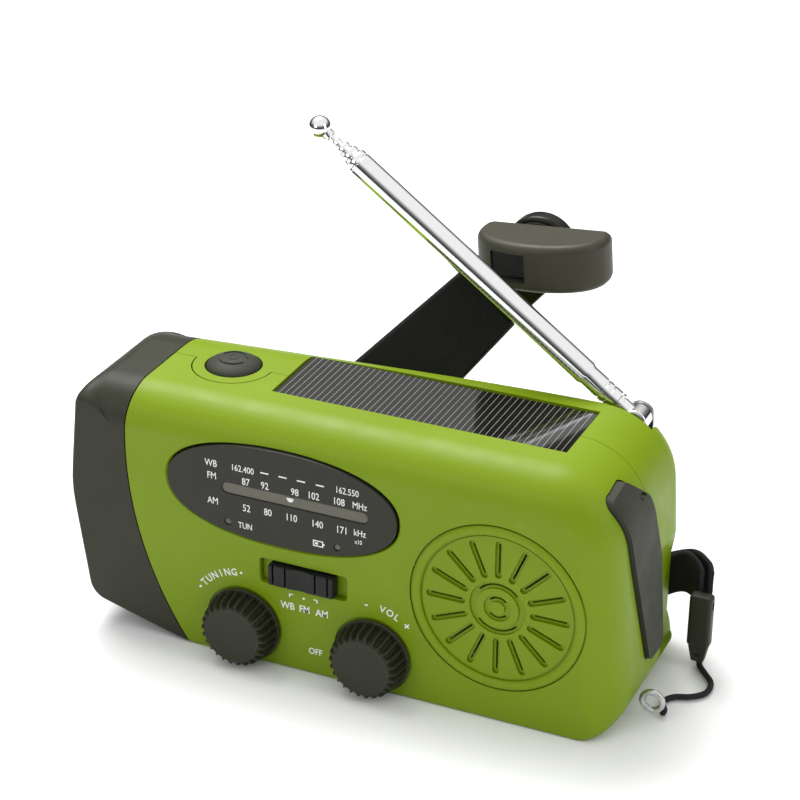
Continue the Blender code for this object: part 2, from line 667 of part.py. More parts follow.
def crank_knob(tip):
    """A D-shaped grip: flat towards the arm, curved in front, with a square finger recess."""
    half_width, flat_y, belly = 15.0, -ARM_HALF - 0.5, 14.2
    outline = [(half_width, -3.2), (half_width - 1.6, 0), (-half_width + 1.6, 0), (-half_width, -3.2)]
    for i in range(1, 14):
        t = math.pi * i / 14
        outline.append((-half_width * math.cos(t), -3.2 - (belly - 3.2) * math.sin(t) ** 0.75))
    shape = plate("crank_knob", outline, -5.5, 5.5, "XY", CHARCOAL)
    soften(shape, 1.6, 2)
    holes = (box("finger_recess", at(-9.5, -30, -3.3), at(-1.0, -11.5, 3.3)),
             rod("knob_bore", at(0, -8.4, 0), at(0, 4, 0), 2.5, sides=20))
    holes[0].data.transform(Matrix.Translation(KNOB_SHIFT))
    shape.data.transform(Matrix.Translation(KNOB_SHIFT))
    for thing in (shape, *holes):
        thing.data.transform(Matrix.Translation(at(0, flat_y, 0))
                             @ Matrix.Rotation(math.radians(-4.6), 4, "Y"))
        thing.location = tip
    return cut(shape, *holes)


def antenna():
    """Bracket, pin and knuckle at the case; four nested tubes and a ball-ended rod."""
    bracket = box("antenna_bracket", at(47.6, 15.1, 51.2), at(55.8, 21.5, 52.4), STEEL)
    for name, low, high in (("ear_near", 15.1, 15.9), ("ear_far", 20.7, 21.5)):
        join(bracket, box(name, at(49, low, 51.4), at(55, high, 56)),
             rod(name + "_top", at(52, low, 56), at(52, high, 56), 3.0, sides=24))
    cut(bracket, rod("bracket_hole", at(52, 14, 56), at(52, 23, 56), 1.2, sides=16))
    rod("antenna_pin", at(52, 15.0, 56), at(52, 21.6, 56), 0.9, STEEL, sides=16)

    swing = empty("antenna_swing_axis")
    swing.location = ANTENNA
    swing.rotation_euler = (0, -(math.pi / 2 - ANTENNA_RISE), 0)
    knuckle = hang(rod("antenna_knuckle", at(0, -2.1, 0), at(0, 2.1, 0), 2.9, CHROME, sides=32), swing)
    join(knuckle, hang(rod("knuckle_neck", at(0, 0, 1.0), at(0, 0, 5.6), 2.0, sides=24), swing),
         hang(rod("knuckle_spigot", at(0, 0, 5.0), at(0, 0, 8.0), 1.6, sides=24), swing))
    cut(knuckle, hang(rod("knuckle_hole", at(0, -3, 0), at(0, 3, 0), 1.2, sides=16), swing))

    start = 5.9
    end = ANTENNA_REACH - 10
    for i, (outer, inner) in enumerate(ANTENNA_TUBES):
        low = start if i == 0 else start + 3 + i
        high = end + 1.9 * i
        tube = hang(rod("antenna_section_%d" % (i + 1), at(0, 0, low), at(0, 0, high), outer, CHROME,
                        sides=ANTENNA_SIDES), swing)
        cut(tube, hang(rod("tube_bore_%d" % i, at(0, 0, low - 1), at(0, 0, high + 1), inner,
                           sides=ANTENNA_SIDES), swing))
    rod_low, tip = start + 8, ANTENNA_REACH
    profile = [(0, tip + 2.5)]
    profile += [(2.5 * math.sin(t), tip + 2.5 * math.cos(t)) for t in (math.radians(18 * i) for i in range(1, 9))]
    profile += [(1.3, tip - 2.6), (1.3, tip - 3.4), (0.55, tip - 3.4), (0.55, rod_low), (0, rod_low)]
    last = turned("antenna_section_5", profile, Vector((0, 0, 0)), CHROME, "Z", ANTENNA_SIDES)
    hang(last, swing)


def flap():
    body = as_part(flap_prism("port_flap"), RUBBER)
    keep(body, case_form("flap_outside", -1.1))
    cut(body, case_form("flap_inside", 0.7))
    return set_axis(body, at(65.7, 4.25, 20))


def inside():
    """Board, controls, ferrite aerial, battery and sockets."""
    board = box("circuit_board", at(-36, -5.7, 3), at(16, -4.3, 55.2), BOARD)
    box("tuning_capacitor", at(TUNING[0] - 8, -15.0, 2.6), at(TUNING[0] + 8, -6.1, 18.6), WHITE)
    rod("volume_control", at(VOLUME[0], -15.0, VOLUME[1] + 0.6), at(VOLUME[0], -9.5, VOLUME[1] + 0.6), 6.9,
        STEEL, sides=32)
    box("band_switch", at(SWITCH[0] - 10, -19.4, SWITCH[1] - 3.2),
        at(SWITCH[0] + 10, -14.5, SWITCH[1] + 3.2), STEEL)
    switch = box("torch_switch", at(-38.2, -4.0, 46), at(-30.2, 2.5, 53), BLACK)
    join(switch, rod("switch_plunger", at(*BUTTON, 52), at(*BUTTON, 54.9), 1.6, sides=16))
    rod("ferrite_rod", at(-44, -13.5, 52.3), at(6, -13.5, 52.3), 2.8, BLACK, sides=24)
    coil = rod("ferrite_coil", at(-34, -13.5, 52.3), at(-14, -13.5, 52.3), 4.0, COPPER, sides=24)
    cut(coil, rod("coil_bore", at(-40, -13.5, 52.3), at(-8, -13.5, 52.3), 3.1, sides=24))
    low, high, y, z = BATTERY
    rod("battery_cell", at(low, y, z), at(high, y, z), BATTERY_R, STEEL, sides=32)
    for i, x in enumerate((low - 1.6, high + 0.6)):
        box("battery_contact_%d" % (i + 1), at(x, y - 4, z - 4), at(x + 1, y + 4, z + 4), BRASS)
    usb = box("usb_socket", at(53, -2, 36), at(61, 1, 44), STEEL)
    cut(usb, box("usb_mouth", at(55, -1.5, 36.6), at(64, 0.5, 43.4)))
    jack = rod("headphone_socket", at(50, -1.9, 24), at(61, -1.9, 24), 3.0, BLACK, sides=24)
    cut(jack, rod("jack_bore", at(52, -1.9, 24), at(64, -1.9, 24), 1.75, sides=16))
    return board


def covers():
    """Solar panel, torch button, battery door and the case screws."""
    box("solar_panel", at(*PANEL_LOW, 58.9), at(*PANEL_HIGH, 59.6), SOLAR)
    profile = [(0, 62.0), (2.2, 61.9), (4.2, 61.5), (5.5, 60.9), (BUTTON_R, 60.0), (BUTTON_R, 56.6),
               (0, 56.6)]
    set_axis(turned("torch_button", profile, at(*BUTTON, 0), RUBBER, "Z", 28), at(*BUTTON, 60))
    door = box("battery_door", at(DOOR_LOW[0], 20.9, DOOR_LOW[1]), at(DOOR_HIGH[0], 22.4, DOOR_HIGH[1]),
               LIME)
    soften(door, 0.4, 1)
    for i, (x, z) in enumerate(SCREWS):
        screw = rod("case_screw_%d" % (i + 1), at(x, 19.7, z), at(x, 21.3, z), 2.6, STEEL, sides=24)
        join(screw, rod("shank_%d" % i, at(x, 1.6, z), at(x, 20, z), 1.2, sides=12))


def smooth_route(points, count):
    """Points along a Catmull-Rom curve through a route (closed when the ends meet)."""
    closed = points[0] == points[-1]
    route = [Vector(p) for p in (points[:-1] if closed else points)]
    spans = len(route) if closed else len(route) - 1
    made = []
    for k in range(count):
        s = spans * k / (count if closed else count - 1)
        i = min(int(s), spans - 1)
        t = s - i
        if closed:
            a, b, c, d = (route[(i + n) % len(route)] for n in (-1, 0, 1, 2))
        else:
            a, b, c, d = (route[min(max(i + n, 0), len(route) - 1)] for n in (-1, 0, 1, 2))
        made.append((b * 2 + (c - a) * t + (a * 2 - b * 5 + c * 4 - d) * t * t
                     + (b * 3 - a - c * 3 + d) * t ** 3) / 2 * MM)
    return made


def cord(name, points, radius, look):
    curve = bpy.data.curves.new(name, "CURVE")
    curve.dimensions = "3D"
    curve.bevel_depth = radius * MM
    curve.bevel_resolution = 2
    curve.use_fill_caps = True
    line = curve.splines.new("POLY")
    line.points.add(len(points) - 1)
    for point, place in zip(line.points, points):
        point.co = (*place, 1)
    curve.materials.append(look)
    made = bpy.data.objects.new(name, curve)
    PARTS.objects.link(made)
    return made


# The strap's routes: points chosen along the way it lies, mm
WEBBING_ROUTE = ((69.4, 16.9, 18.6), (67.2, 19.6, 19.6), (63.2, 23.0, 18.6), (56.0, 23.9, 14.0),
                 (44.0, 23.9, 8.4), (28.0, 23.9, 6.0), (14.0, 23.9, 6.0), (11.2, 25.3, 6.0),
                 (14.0, 26.7, 6.0), (28.0, 26.6, 6.0), (44.0, 26.6, 8.4), (56.0, 26.6, 14.0),
                 (64.6, 24.6, 18.6), (69.6, 20.4, 19.4), (71.4, 17.4, 18.6))
CORD_ROUTE = ((70.0, 18.2, 1.0), (70.8, 15.0, 0.9), (73.0, 12.2, 0.9), (75.4, 9.0, 0.9), (75.6, 5.0, 0.9),
              (73.2, 2.2, 0.9), (69.8, 0.6, 0.9), (68.2, -2.2, 0.9), (69.6, -5.2, 1.1), (69.9, -7.4, 1.7))


def webbing_ring(point, along):
    """The band's section: 1.1 mm thick and 10.4 mm tall, standing on its edge."""
    across = Vector((along.y, -along.x, 0)).normalized() * 0.55 * MM
    rise = at(0, 0, 5.2)
    return [point - across - rise, point + across - rise, point + across + rise, point - across + rise]


def strap():
    eyelet = bpy.data.meshes.new("strap_eyelet")
    work = bmesh.new()
    profile = [work.verts.new(at(2.2 + 0.7 * math.cos(t), 0, 0.7 * math.sin(t))) for t in
               (math.pi * i / 3 for i in range(6))]
    edges = [work.edges.new((profile[i], profile[(i + 1) % 6])) for i in range(6)]
    bmesh.ops.spin(work, geom=profile + edges, cent=(0, 0, 0), axis=(0, 0, 1), angle=2 * math.pi, steps=14,
                   use_merge=True)
    bmesh.ops.remove_doubles(work, verts=work.verts, dist=0.01 * MM)
    bmesh.ops.recalc_face_normals(work, faces=work.faces)
    work.to_mesh(eyelet)
    work.free()
    ring = add("strap_eyelet", eyelet, STEEL)
    ring.location = at(67.9, -9.0, 5.2)
    ring.rotation_euler = (math.pi / 2, 0, 0)

    points = smooth_route(WEBBING_ROUTE, 44)
    rings = []
    for i, point in enumerate(points):
        along = points[min(i + 1, len(points) - 1)] - points[max(i - 1, 0)]
        rings.append(webbing_ring(point, along))
    loft("strap_webbing", rings, FABRIC)
    clasp = box("strap_clasp", at(67.8, 13.2, 2.2), at(73.0, 16.4, 19.0), CHARCOAL)
    soften(clasp, 0.8)
    cord("strap_cord", smooth_route(CORD_ROUTE, 26), 0.65, FABRIC)


front_shell()
rear_shell()
torch_cap()
torch()
dial()
set_axis(knob("tuning_knob", TUNING), at(TUNING[0], -22.5, TUNING[1]))
set_axis(knob("volume_knob", VOLUME), at(VOLUME[0], -22.5, VOLUME[1]))
slider()
speaker()
gear_train()
crank()
antenna()
flap()
inside()
covers()
strap()
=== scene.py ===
"""Looks for the hand-crank emergency radio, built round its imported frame."""
import math

import bmesh
import bpy
from mathutils import Matrix, Vector


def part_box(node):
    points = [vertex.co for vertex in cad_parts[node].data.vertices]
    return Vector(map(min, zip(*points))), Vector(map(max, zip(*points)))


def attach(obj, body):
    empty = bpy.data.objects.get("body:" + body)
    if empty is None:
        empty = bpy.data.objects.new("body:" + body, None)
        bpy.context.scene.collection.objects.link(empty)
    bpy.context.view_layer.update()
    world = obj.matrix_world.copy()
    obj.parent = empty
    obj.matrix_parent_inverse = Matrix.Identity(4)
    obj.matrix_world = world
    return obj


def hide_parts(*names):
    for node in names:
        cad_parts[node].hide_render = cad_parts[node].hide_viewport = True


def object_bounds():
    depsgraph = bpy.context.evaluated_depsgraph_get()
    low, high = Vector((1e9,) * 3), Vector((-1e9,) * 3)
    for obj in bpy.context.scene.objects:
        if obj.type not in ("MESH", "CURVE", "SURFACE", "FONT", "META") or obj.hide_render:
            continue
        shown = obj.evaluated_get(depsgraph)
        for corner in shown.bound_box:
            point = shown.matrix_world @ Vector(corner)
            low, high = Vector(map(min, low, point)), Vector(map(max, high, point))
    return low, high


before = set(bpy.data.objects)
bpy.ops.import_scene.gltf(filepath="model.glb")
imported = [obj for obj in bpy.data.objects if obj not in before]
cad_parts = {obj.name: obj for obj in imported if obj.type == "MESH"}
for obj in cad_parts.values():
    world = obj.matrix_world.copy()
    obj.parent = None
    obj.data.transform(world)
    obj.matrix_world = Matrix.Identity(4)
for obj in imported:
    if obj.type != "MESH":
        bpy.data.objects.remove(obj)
CAD_LOW, CAD_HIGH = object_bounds()
MM = 0.001
SCENE = bpy.context.scene
SCRATCH = bpy.data.collections.new("scratch")
SCENE.collection.children.link(SCRATCH)


def at(x, y, z):
    """A point given in millimetres."""
    return Vector((x, y, z)) * MM


def middle(node):
    """The centre of a CAD node's box, in millimetres."""
    low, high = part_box(node)
    return (Vector(low) + Vector(high)) / 2 / MM


# ---- camera and light ----

def aim(thing, place, target):
    thing.location = place
    thing.rotation_euler = (Vector(target) - Vector(place)).to_track_quat("-Z", "Y").to_euler()


view = bpy.data.cameras.new("camera")
view.lens = 107.1
view.sensor_width = 36
view.shift_x, view.shift_y = 0.0269, 0.142
camera = bpy.data.objects.new("camera", view)
SCENE.collection.objects.link(camera)
aim(camera, (0.1896, -0.4137, 0.2877), (0.00007, 0, 0.03013))
SCENE.camera = camera


def lamp(name, place, target, size, power):
    light = bpy.data.lights.new(name, "AREA")
    light.shape = "RECTANGLE"
    light.size, light.size_y = size
    light.energy = power
    made = bpy.data.objects.new(name, light)
    SCENE.collection.objects.link(made)
    aim(made, place, target)


lamp("key_light", (-0.30, 0.25, 0.80), (0, 0, 0.03), (0.55, 0.45), 8.5)
lamp("front_fill", (-0.35, -0.85, 0.45), (0, 0, 0.03), (0.5, 0.35), 1.5)
lamp("side_fill", (0.85, -0.10, 0.35), (0, 0, 0.03), (0.25, 0.6), 1.7)


def studio():
    """A bright ceiling over darker walls, so that polished metal has something to show."""
    world = bpy.data.worlds.new("studio")
    world.use_nodes = True
    nodes, links = world.node_tree.nodes, world.node_tree.links
    parts = nodes.new("ShaderNodeSeparateXYZ")
    links.new(nodes.new("ShaderNodeTexCoord").outputs["Generated"], parts.inputs[0])
    ramp = nodes.new("ShaderNodeValToRGB")
    ramp.color_ramp.elements[0].position = 0.10
    ramp.color_ramp.elements[0].color = (0.03, 0.03, 0.03, 1)
    ramp.color_ramp.elements[1].position = 0.62
    ramp.color_ramp.elements[1].color = (1.0, 1.0, 1.0, 1)
    middle_stop = ramp.color_ramp.elements.new(0.34)
    middle_stop.color = (0.22, 0.22, 0.22, 1)
    links.new(parts.outputs["Z"], ramp.inputs["Fac"])
    links.new(ramp.outputs["Color"], nodes["Background"].inputs["Color"])
    nodes["Background"].inputs["Strength"].default_value = 1.0
    SCENE.world = world


studio()
SCENE.view_settings.view_transform = "Standard"


# ---- materials ----

# How strongly plain plastics mirror the room; metals and clear pieces keep the usual 0.5
SHEEN = 0.24
LINE_PITCH, LINE_SHARE = 1.40, 0.095


def finish(name, colour, rough, metallic=0.0, mottle=0.07, mottle_size=22, grain=0.012, grain_size=0.45,
           spread=0.07, scuff=0.06, coat=0.0, clear=0.0):
    """A moulded or metal surface with uneven colour, grain, uneven gloss and small scuffs (sizes in mm)."""
    made = bpy.data.materials.new(name)
    made.use_nodes = True
    nodes, links = made.node_tree.nodes, made.node_tree.links
    shader = nodes["Principled BSDF"]
    where = nodes.new("ShaderNodeTexCoord").outputs["Object"]

    def noise(size, detail, twist=0.0):
        made_noise = nodes.new("ShaderNodeTexNoise")
        made_noise.inputs["Scale"].default_value = 1 / (size * MM)
        made_noise.inputs["Detail"].default_value = detail
        made_noise.inputs["Distortion"].default_value = twist
        links.new(where, made_noise.inputs["Vector"])
        return made_noise.outputs["Fac"]

    def mix(factor, low, high):
        made_mix = nodes.new("ShaderNodeMix")
        made_mix.data_type = "RGBA"
        links.new(factor, made_mix.inputs[0])
        for socket, value in ((6, low), (7, high)):
            if isinstance(value, tuple):
                made_mix.inputs[socket].default_value = value
            else:
                links.new(value, made_mix.inputs[socket])
        return made_mix.outputs[2]

    def span(value, low, high, to_low, to_high):
        made_span = nodes.new("ShaderNodeMapRange")
        for socket, number in zip(("From Min", "From Max", "To Min", "To Max"),
                                  (low, high, to_low, to_high)):
            made_span.inputs[socket].default_value = number
        links.new(value, made_span.inputs["Value"])
        return made_span.outputs["Result"]

    dark = tuple(c * (1 - mottle) for c in colour) + (1,)
    light = tuple(min(c * (1 + mottle), 1) for c in colour) + (1,)
    base = mix(noise(mottle_size, 4), dark, light)
    marks = span(noise(2.4, 8, 1.2), 0.66, 0.76, 0, scuff)
    worn = tuple(min(c * 1.6 + 0.08, 1) for c in colour) + (1,)
    links.new(mix(marks, base, worn), shader.inputs["Base Color"])
    links.new(span(noise(7, 5), 0.3, 0.7, max(rough - spread, 0.02), rough + spread),
              shader.inputs["Roughness"])
    bump = nodes.new("ShaderNodeBump")
    bump.inputs["Strength"].default_value = 1.0
    bump.inputs["Distance"].default_value = grain * MM
    links.new(noise(grain_size, 3), bump.inputs["Height"])
    links.new(bump.outputs["Normal"], shader.inputs["Normal"])
    shader.inputs["Metallic"].default_value = metallic
    shader.inputs["Specular IOR Level"].default_value = 0.5 if metallic or clear else SHEEN
    shader.inputs["Coat Weight"].default_value = coat
    shader.inputs["Transmission Weight"].default_value = clear
    return made


def paint(made, build):
    """Change a finish's colour with nodes that build(nodes, links, coordinates, colour) adds."""
    nodes, links = made.node_tree.nodes, made.node_tree.links
    shader = nodes["Principled BSDF"]
    colour = shader.inputs["Base Color"].links[0].from_socket
    parts = nodes.new("ShaderNodeSeparateXYZ")
    where = next(n for n in nodes if n.type == "TEX_COORD")
    links.new(where.outputs["Object"], parts.inputs[0])
    links.new(build(nodes, links, parts, colour), shader.inputs["Base Color"])
    return made


LOOKS = {
    "lime": finish("lime_case", (0.171, 0.264, 0.0010), 0.45, mottle=0.05, grain=0.010),
    "charcoal": finish("charcoal_plastic", (0.026, 0.0265, 0.015), 0.46, grain=0.012),
    "black_plastic": finish("black_plastic", (0.010, 0.010, 0.0095), 0.38, grain=0.008),
    "rubber": finish("dark_rubber", (0.034, 0.036, 0.024), 0.62, grain=0.02, scuff=0.03),
    "chrome": finish("chrome", (0.86, 0.86, 0.87), 0.09, 1.0, mottle=0.02, grain=0.0015,
                     spread=0.03, scuff=0.02),
    "steel": finish("steel", (0.52, 0.52, 0.53), 0.32, 1.0, mottle=0.05, grain=0.006),
    "clear": finish("clear_plastic", (0.93, 0.94, 0.94), 0.06, mottle=0.02, grain=0.001,
                    spread=0.02, scuff=0.01, clear=1.0),
    "white_plastic": finish("white_plastic", (0.75, 0.75, 0.72), 0.4),
    "brass": finish("brass", (0.70, 0.50, 0.22), 0.3, 1.0),
    "board": finish("circuit_board", (0.03, 0.16, 0.06), 0.45, mottle=0.2, mottle_size=5),
    "solar": finish("solar_cells", (0.009, 0.009, 0.0075), 0.10, mottle=0.15, grain=0.0006,
                    spread=0.04, scuff=0.02, coat=0.6),
    "paper": finish("speaker_paper", (0.045, 0.043, 0.040), 0.85, grain=0.05, grain_size=0.8),
    "copper": finish("copper", (0.70, 0.30, 0.15), 0.35, 1.0, mottle=0.15, mottle_size=0.4),
    "webbing": finish("black_webbing", (0.016, 0.016, 0.017), 0.85, grain=0.06, grain_size=0.35,
                      scuff=0.04),
}
PRINT = finish("white_print", (0.80, 0.80, 0.78), 0.55, mottle=0.04, grain=0.002)
DIAL_COAT = finish("dial_coating", (0.022, 0.022, 0.015), 0.33, grain=0.003, mottle=0.05)
DIAL_TRACK = finish("dial_track", (0.13, 0.125, 0.10), 0.5, grain=0.003)
ARM_LOOK = finish("arm_plastic", (0.006, 0.0065, 0.0045), 0.30, grain=0.006)
GRIP_LOOK = finish("grip_plastic", (0.044, 0.042, 0.026), 0.45, grain=0.012)
MILKY = finish("led_body", (0.80, 0.82, 0.80), 0.2, clear=0.6)


def solar_lines(nodes, links, parts, colour):
    """Fine light contact lines that run from front to back."""
    def math_node(kind, first, second):
        step = nodes.new("ShaderNodeMath")
        step.operation = kind
        links.new(first, step.inputs[0])
        step.inputs[1].default_value = second
        return step.outputs[0]
    cell = math_node("FRACT", math_node("MULTIPLY", parts.outputs["X"], 1 / (LINE_PITCH * MM)), 0)
    line = math_node("LESS_THAN", cell, LINE_SHARE)
    blend = nodes.new("ShaderNodeMix")
    blend.data_type = "RGBA"
    links.new(line, blend.inputs[0])
    links.new(colour, blend.inputs[6])
    blend.inputs[7].default_value = (0.26, 0.25, 0.22, 1)
    return blend.outputs[2]


paint(LOOKS["solar"], solar_lines)


# ---- modelling tools ----

def shape(build):
    """A scratch object from a function that fills a bmesh."""
    mesh = bpy.data.meshes.new("scratch")
    work = bmesh.new()
    build(work)
    bmesh.ops.recalc_face_normals(work, faces=work.faces)
    work.to_mesh(mesh)
    work.free()
    made = bpy.data.objects.new("scratch", mesh)
    SCRATCH.objects.link(made)
    return made


def loft(rings, round_trip=False):
    """Closed rings of points joined one to the next, with flat ends or back to the first."""
    def build(work):
        loops = [[work.verts.new(point) for point in ring] for ring in rings]
        pairs = list(zip(loops, loops[1:])) + ([(loops[-1], loops[0])] if round_trip else [])
        for near, far in pairs:
            for i in range(len(near)):
                j = (i + 1) % len(near)
                work.faces.new((near[i], near[j], far[j], far[i]))
        if not round_trip:
            work.faces.new(loops[0])
            work.faces.new(list(reversed(loops[-1])))
    return shape(build)


def box(low, high):
    def build(work):
        place = Matrix.Translation((low + high) / 2) @ Matrix.Diagonal((*(high - low), 1))
        bmesh.ops.create_cube(work, size=1, matrix=place)
    return shape(build)


def rod(start, end, radius, end_radius=None, sides=64):
    def build(work):
        along = end - start
        turn = Vector((0, 0, 1)).rotation_difference(along).to_matrix().to_4x4()
        last = radius if end_radius is None else end_radius
        bmesh.ops.create_cone(work, cap_ends=True, segments=sides, radius1=radius * MM, radius2=last * MM,
                              depth=along.length, matrix=Matrix.Translation((start + end) / 2) @ turn)
    return shape(build)


PLANES = {"XZ": lambda u, v, w: at(u, w, v),
          "YZ": lambda u, v, w: at(w, u, v),
          "XY": lambda u, v, w: at(u, v, w)}


def plate(outline, low, high, plane="XZ"):
    """A prism over a flat outline, between two heights (mm)."""
    return loft([[PLANES[plane](u, v, w) for u, v in outline] for w in (low, high)])


AXES = {"Y": lambda r, c, s, h: at(r * c, h, r * s), "X": lambda r, c, s, h: at(h, r * c, r * s),
        "Z": lambda r, c, s, h: at(r * c, r * s, h)}


def turned(profile, centre=Vector(), axis="Y", steps=96):
    """A profile of (radius, height) points in mm, turned about an axis; open ends lie on the axis."""
    def build(work):
        rows = []
        for r, h in profile:
            count = steps if r > 0 else 1
            rows.append([work.verts.new(centre + AXES[axis](r, math.cos(2 * math.pi * i / steps),
                                                            math.sin(2 * math.pi * i / steps), h))
                         for i in range(count)])
        if profile[0][0] > 0 and profile[-1][0] > 0:
            rows.append(rows[0])
        for near, far in zip(rows, rows[1:]):
            for i in range(steps):
                j = (i + 1) % steps
                corners = [near[i % len(near)], near[j % len(near)], far[j % len(far)], far[i % len(far)]]
                unique = list(dict.fromkeys(corners))
                work.faces.new(unique)
    return shape(build)


def merge(*things):
    """Separate scratch shapes as one."""
    def build(work):
        for thing in things:
            work.from_mesh(thing.data)
    made = shape(build)
    for thing in things:
        bpy.data.objects.remove(thing, do_unlink=True)
    return made


def apply(thing):
    seen = thing.evaluated_get(bpy.context.evaluated_depsgraph_get())
    mesh = bpy.data.meshes.new_from_object(seen)
    thing.modifiers.clear()
    thing.data = mesh
    return thing


def combine(target, operation, *others):
    for other in others:
        step = target.modifiers.new("combine", "BOOLEAN")
        step.operation = operation
        step.object = other
    apply(target)
    for other in others:
        bpy.data.objects.remove(other, do_unlink=True)
    return target


def cut(target, *others):
    return combine(target, "DIFFERENCE", *others)


def join(target, *others):
    return combine(target, "UNION", *others)


def keep(target, *others):
    return combine(target, "INTERSECT", *others)


def soften(thing, width, segments=3, angle=40):
    edge = thing.modifiers.new("soft_edges", "BEVEL")
    edge.width = width * MM
    edge.segments = segments
    edge.limit_method = "ANGLE"
    edge.angle_limit = math.radians(angle)
    return apply(thing)


def move(thing, matrix):
    thing.data.transform(matrix)
    return thing


def show(thing, name, look, body, *nodes, angle=32, flat=True):
    """Turn a scratch shape into a piece that rides a body and stands for CAD nodes."""
    SCRATCH.objects.unlink(thing)
    SCENE.collection.objects.link(thing)
    thing.name = thing.data.name = name
    thing.data.materials.clear()
    thing.data.materials.append(LOOKS[look] if isinstance(look, str) else look)
    thing.data.shade_smooth()
    thing.data.set_sharp_from_angle(angle=math.radians(angle))
    if flat:
        even = thing.modifiers.new("even_normals", "WEIGHTED_NORMAL")
        even.keep_sharp = True
        even.weight = 100
    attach(thing, body)
    if nodes:
        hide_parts(*nodes)
    return thing


def text_mesh(words, height, stretch=1.0, bold=0.0):
    """Flat lettering centred on its own middle, in the XZ plane and facing -Y."""
    curve = bpy.data.curves.new("words", "FONT")
    curve.body = words
    curve.align_x = "CENTER"
    curve.resolution_u = 3
    curve.offset = bold
    holder = bpy.data.objects.new("words", curve)
    SCRATCH.objects.link(holder)
    mesh = bpy.data.meshes.new_from_object(holder.evaluated_get(bpy.context.evaluated_depsgraph_get()))
    bpy.data.objects.remove(holder, do_unlink=True)
    low = [min(v.co[i] for v in mesh.vertices) for i in (0, 1)]
    high = [max(v.co[i] for v in mesh.vertices) for i in (0, 1)]
    size = height / (high[1] - low[1])
    centre = Vector(((low[0] + high[0]) / 2, (low[1] + high[1]) / 2, 0))
    spread = Matrix.Diagonal((size * stretch * MM, size * MM, 1, 1))
    mesh.transform(Matrix.Rotation(math.pi / 2, 4, "X") @ spread @ Matrix.Translation(-centre))
    return mesh


def printed(name, body, entries, look=PRINT, depth=0.05):
    """One thin print from lettering entries: (mesh, x, y, z, turn in degrees)."""
    def build(work):
        for mesh, x, y, z, turn in entries:
            mesh.transform(Matrix.Translation(at(x, y, z)) @ Matrix.Rotation(math.radians(turn), 4, "Y"))
            work.from_mesh(mesh)
        bmesh.ops.remove_doubles(work, verts=work.verts, dist=0.002 * MM)
        made = bmesh.ops.extrude_face_region(work, geom=list(work.faces))
        verts = [g for g in made["geom"] if isinstance(g, bmesh.types.BMVert)]
        bmesh.ops.translate(work, verts=verts, vec=at(0, -depth, 0))
    return show(shape(build), name, look, body, flat=False)


def mark(outline, y):
    """A flat printed shape from an outline of (x, z) points in mm."""
    mesh = bpy.data.meshes.new("mark")
    work = bmesh.new()
    work.faces.new([work.verts.new(at(x, 0, z)) for x, z in outline])
    work.to_mesh(mesh)
    work.free()
    return (mesh, 0, y, 0, 0)


def disc_outline(x, z, radius, count=20):
    return [(x + radius * math.cos(2 * math.pi * i / count), z + radius * math.sin(2 * math.pi * i / count))
            for i in range(count)]


def arc_band(radius, half_width, start, stop, steps, centre=(0, 0)):
    """The outline of a flat arc of even width, between two angles in degrees."""
    angles = [math.radians(start + (stop - start) * k / steps) for k in range(steps + 1)]
    outer, inner = ([(centre[0] + reach * math.cos(t), centre[1] + reach * math.sin(t)) for t in angles]
                    for reach in (radius + half_width, radius - half_width))
    return outer + inner[::-1]


# ---- forms shared with the CAD ----

# Sizes in mm; corners as x, z and radius
CASE_CORNERS = ((65.2, 0, 9), (61.2, 60, 16), (-61.6, 60, 6), (-64.6, 34, 40), (-61, 6.5, 5), (-37, 0, 20))
FRONT_ROUND, BACK_ROUND, HALF_DEPTH, WALL = 9.0, 7.5, 22.5, 2.0
SHARP_SHARE, BACK_SWELL, SWELL_START, SWELL_SPAN = 0.08, 13.0, 6.0, 44.0
TORCH_Y, TORCH_Z = -3.0, 31.0
TORCH_LAMPS = (18.6, 31.0, 43.4)
KNOB_SHIFT = (3.6, 0, 1.6)
FRONT = -HALF_DEPTH
CAP_ARC_X, CAP_ARC_Z, CAP_ARC_R = 33.0, 46.0, 83.0
SPLIT_Y, GAP, SEAM = -1.0, 0.3, 0.14
CRANK = Vector((-20.4, 18.5, 35))
CRANK_TURN, CRANK_LIFT = math.radians(48.1), math.radians(34)
ANTENNA = Vector((52, 18.3, 56))
ANTENNA_RISE = math.radians(36.1)
FINE = 14


def rounded_outline(corners, inset=0.0, degrees=5):
    """A convex outline with round corners, moved inwards by an inset (all in mm)."""
    count = len(corners)
    lines = []
    for i in range(count):
        a, b = Vector(corners[i][:2]), Vector(corners[(i + 1) % count][:2])
        along = (b - a).normalized()
        lines.append((along, Vector((-along.y, along.x))))
    points = []
    for i, (x, z, radius) in enumerate(corners):
        before, inward_before = lines[i - 1]
        after, inward_after = lines[i]
        angle = before.angle(after)
        half = (inward_before + inward_after).normalized()
        corner = Vector((x, z)) + half * inset / math.cos(angle / 2)
        round_off = max(radius - inset, 0.5)
        centre = corner + half * round_off / math.cos(angle / 2)
        steps = max(3, round(math.degrees(angle) / degrees))
        for k in range(steps + 1):
            turn = Matrix.Rotation(angle * (k / steps - 0.5), 2)
            points.append(tuple(centre - turn @ half * round_off))
    return points


def ease(t):
    t = min(max(t, 0.0), 1.0)
    return t * t * (3 - 2 * t)


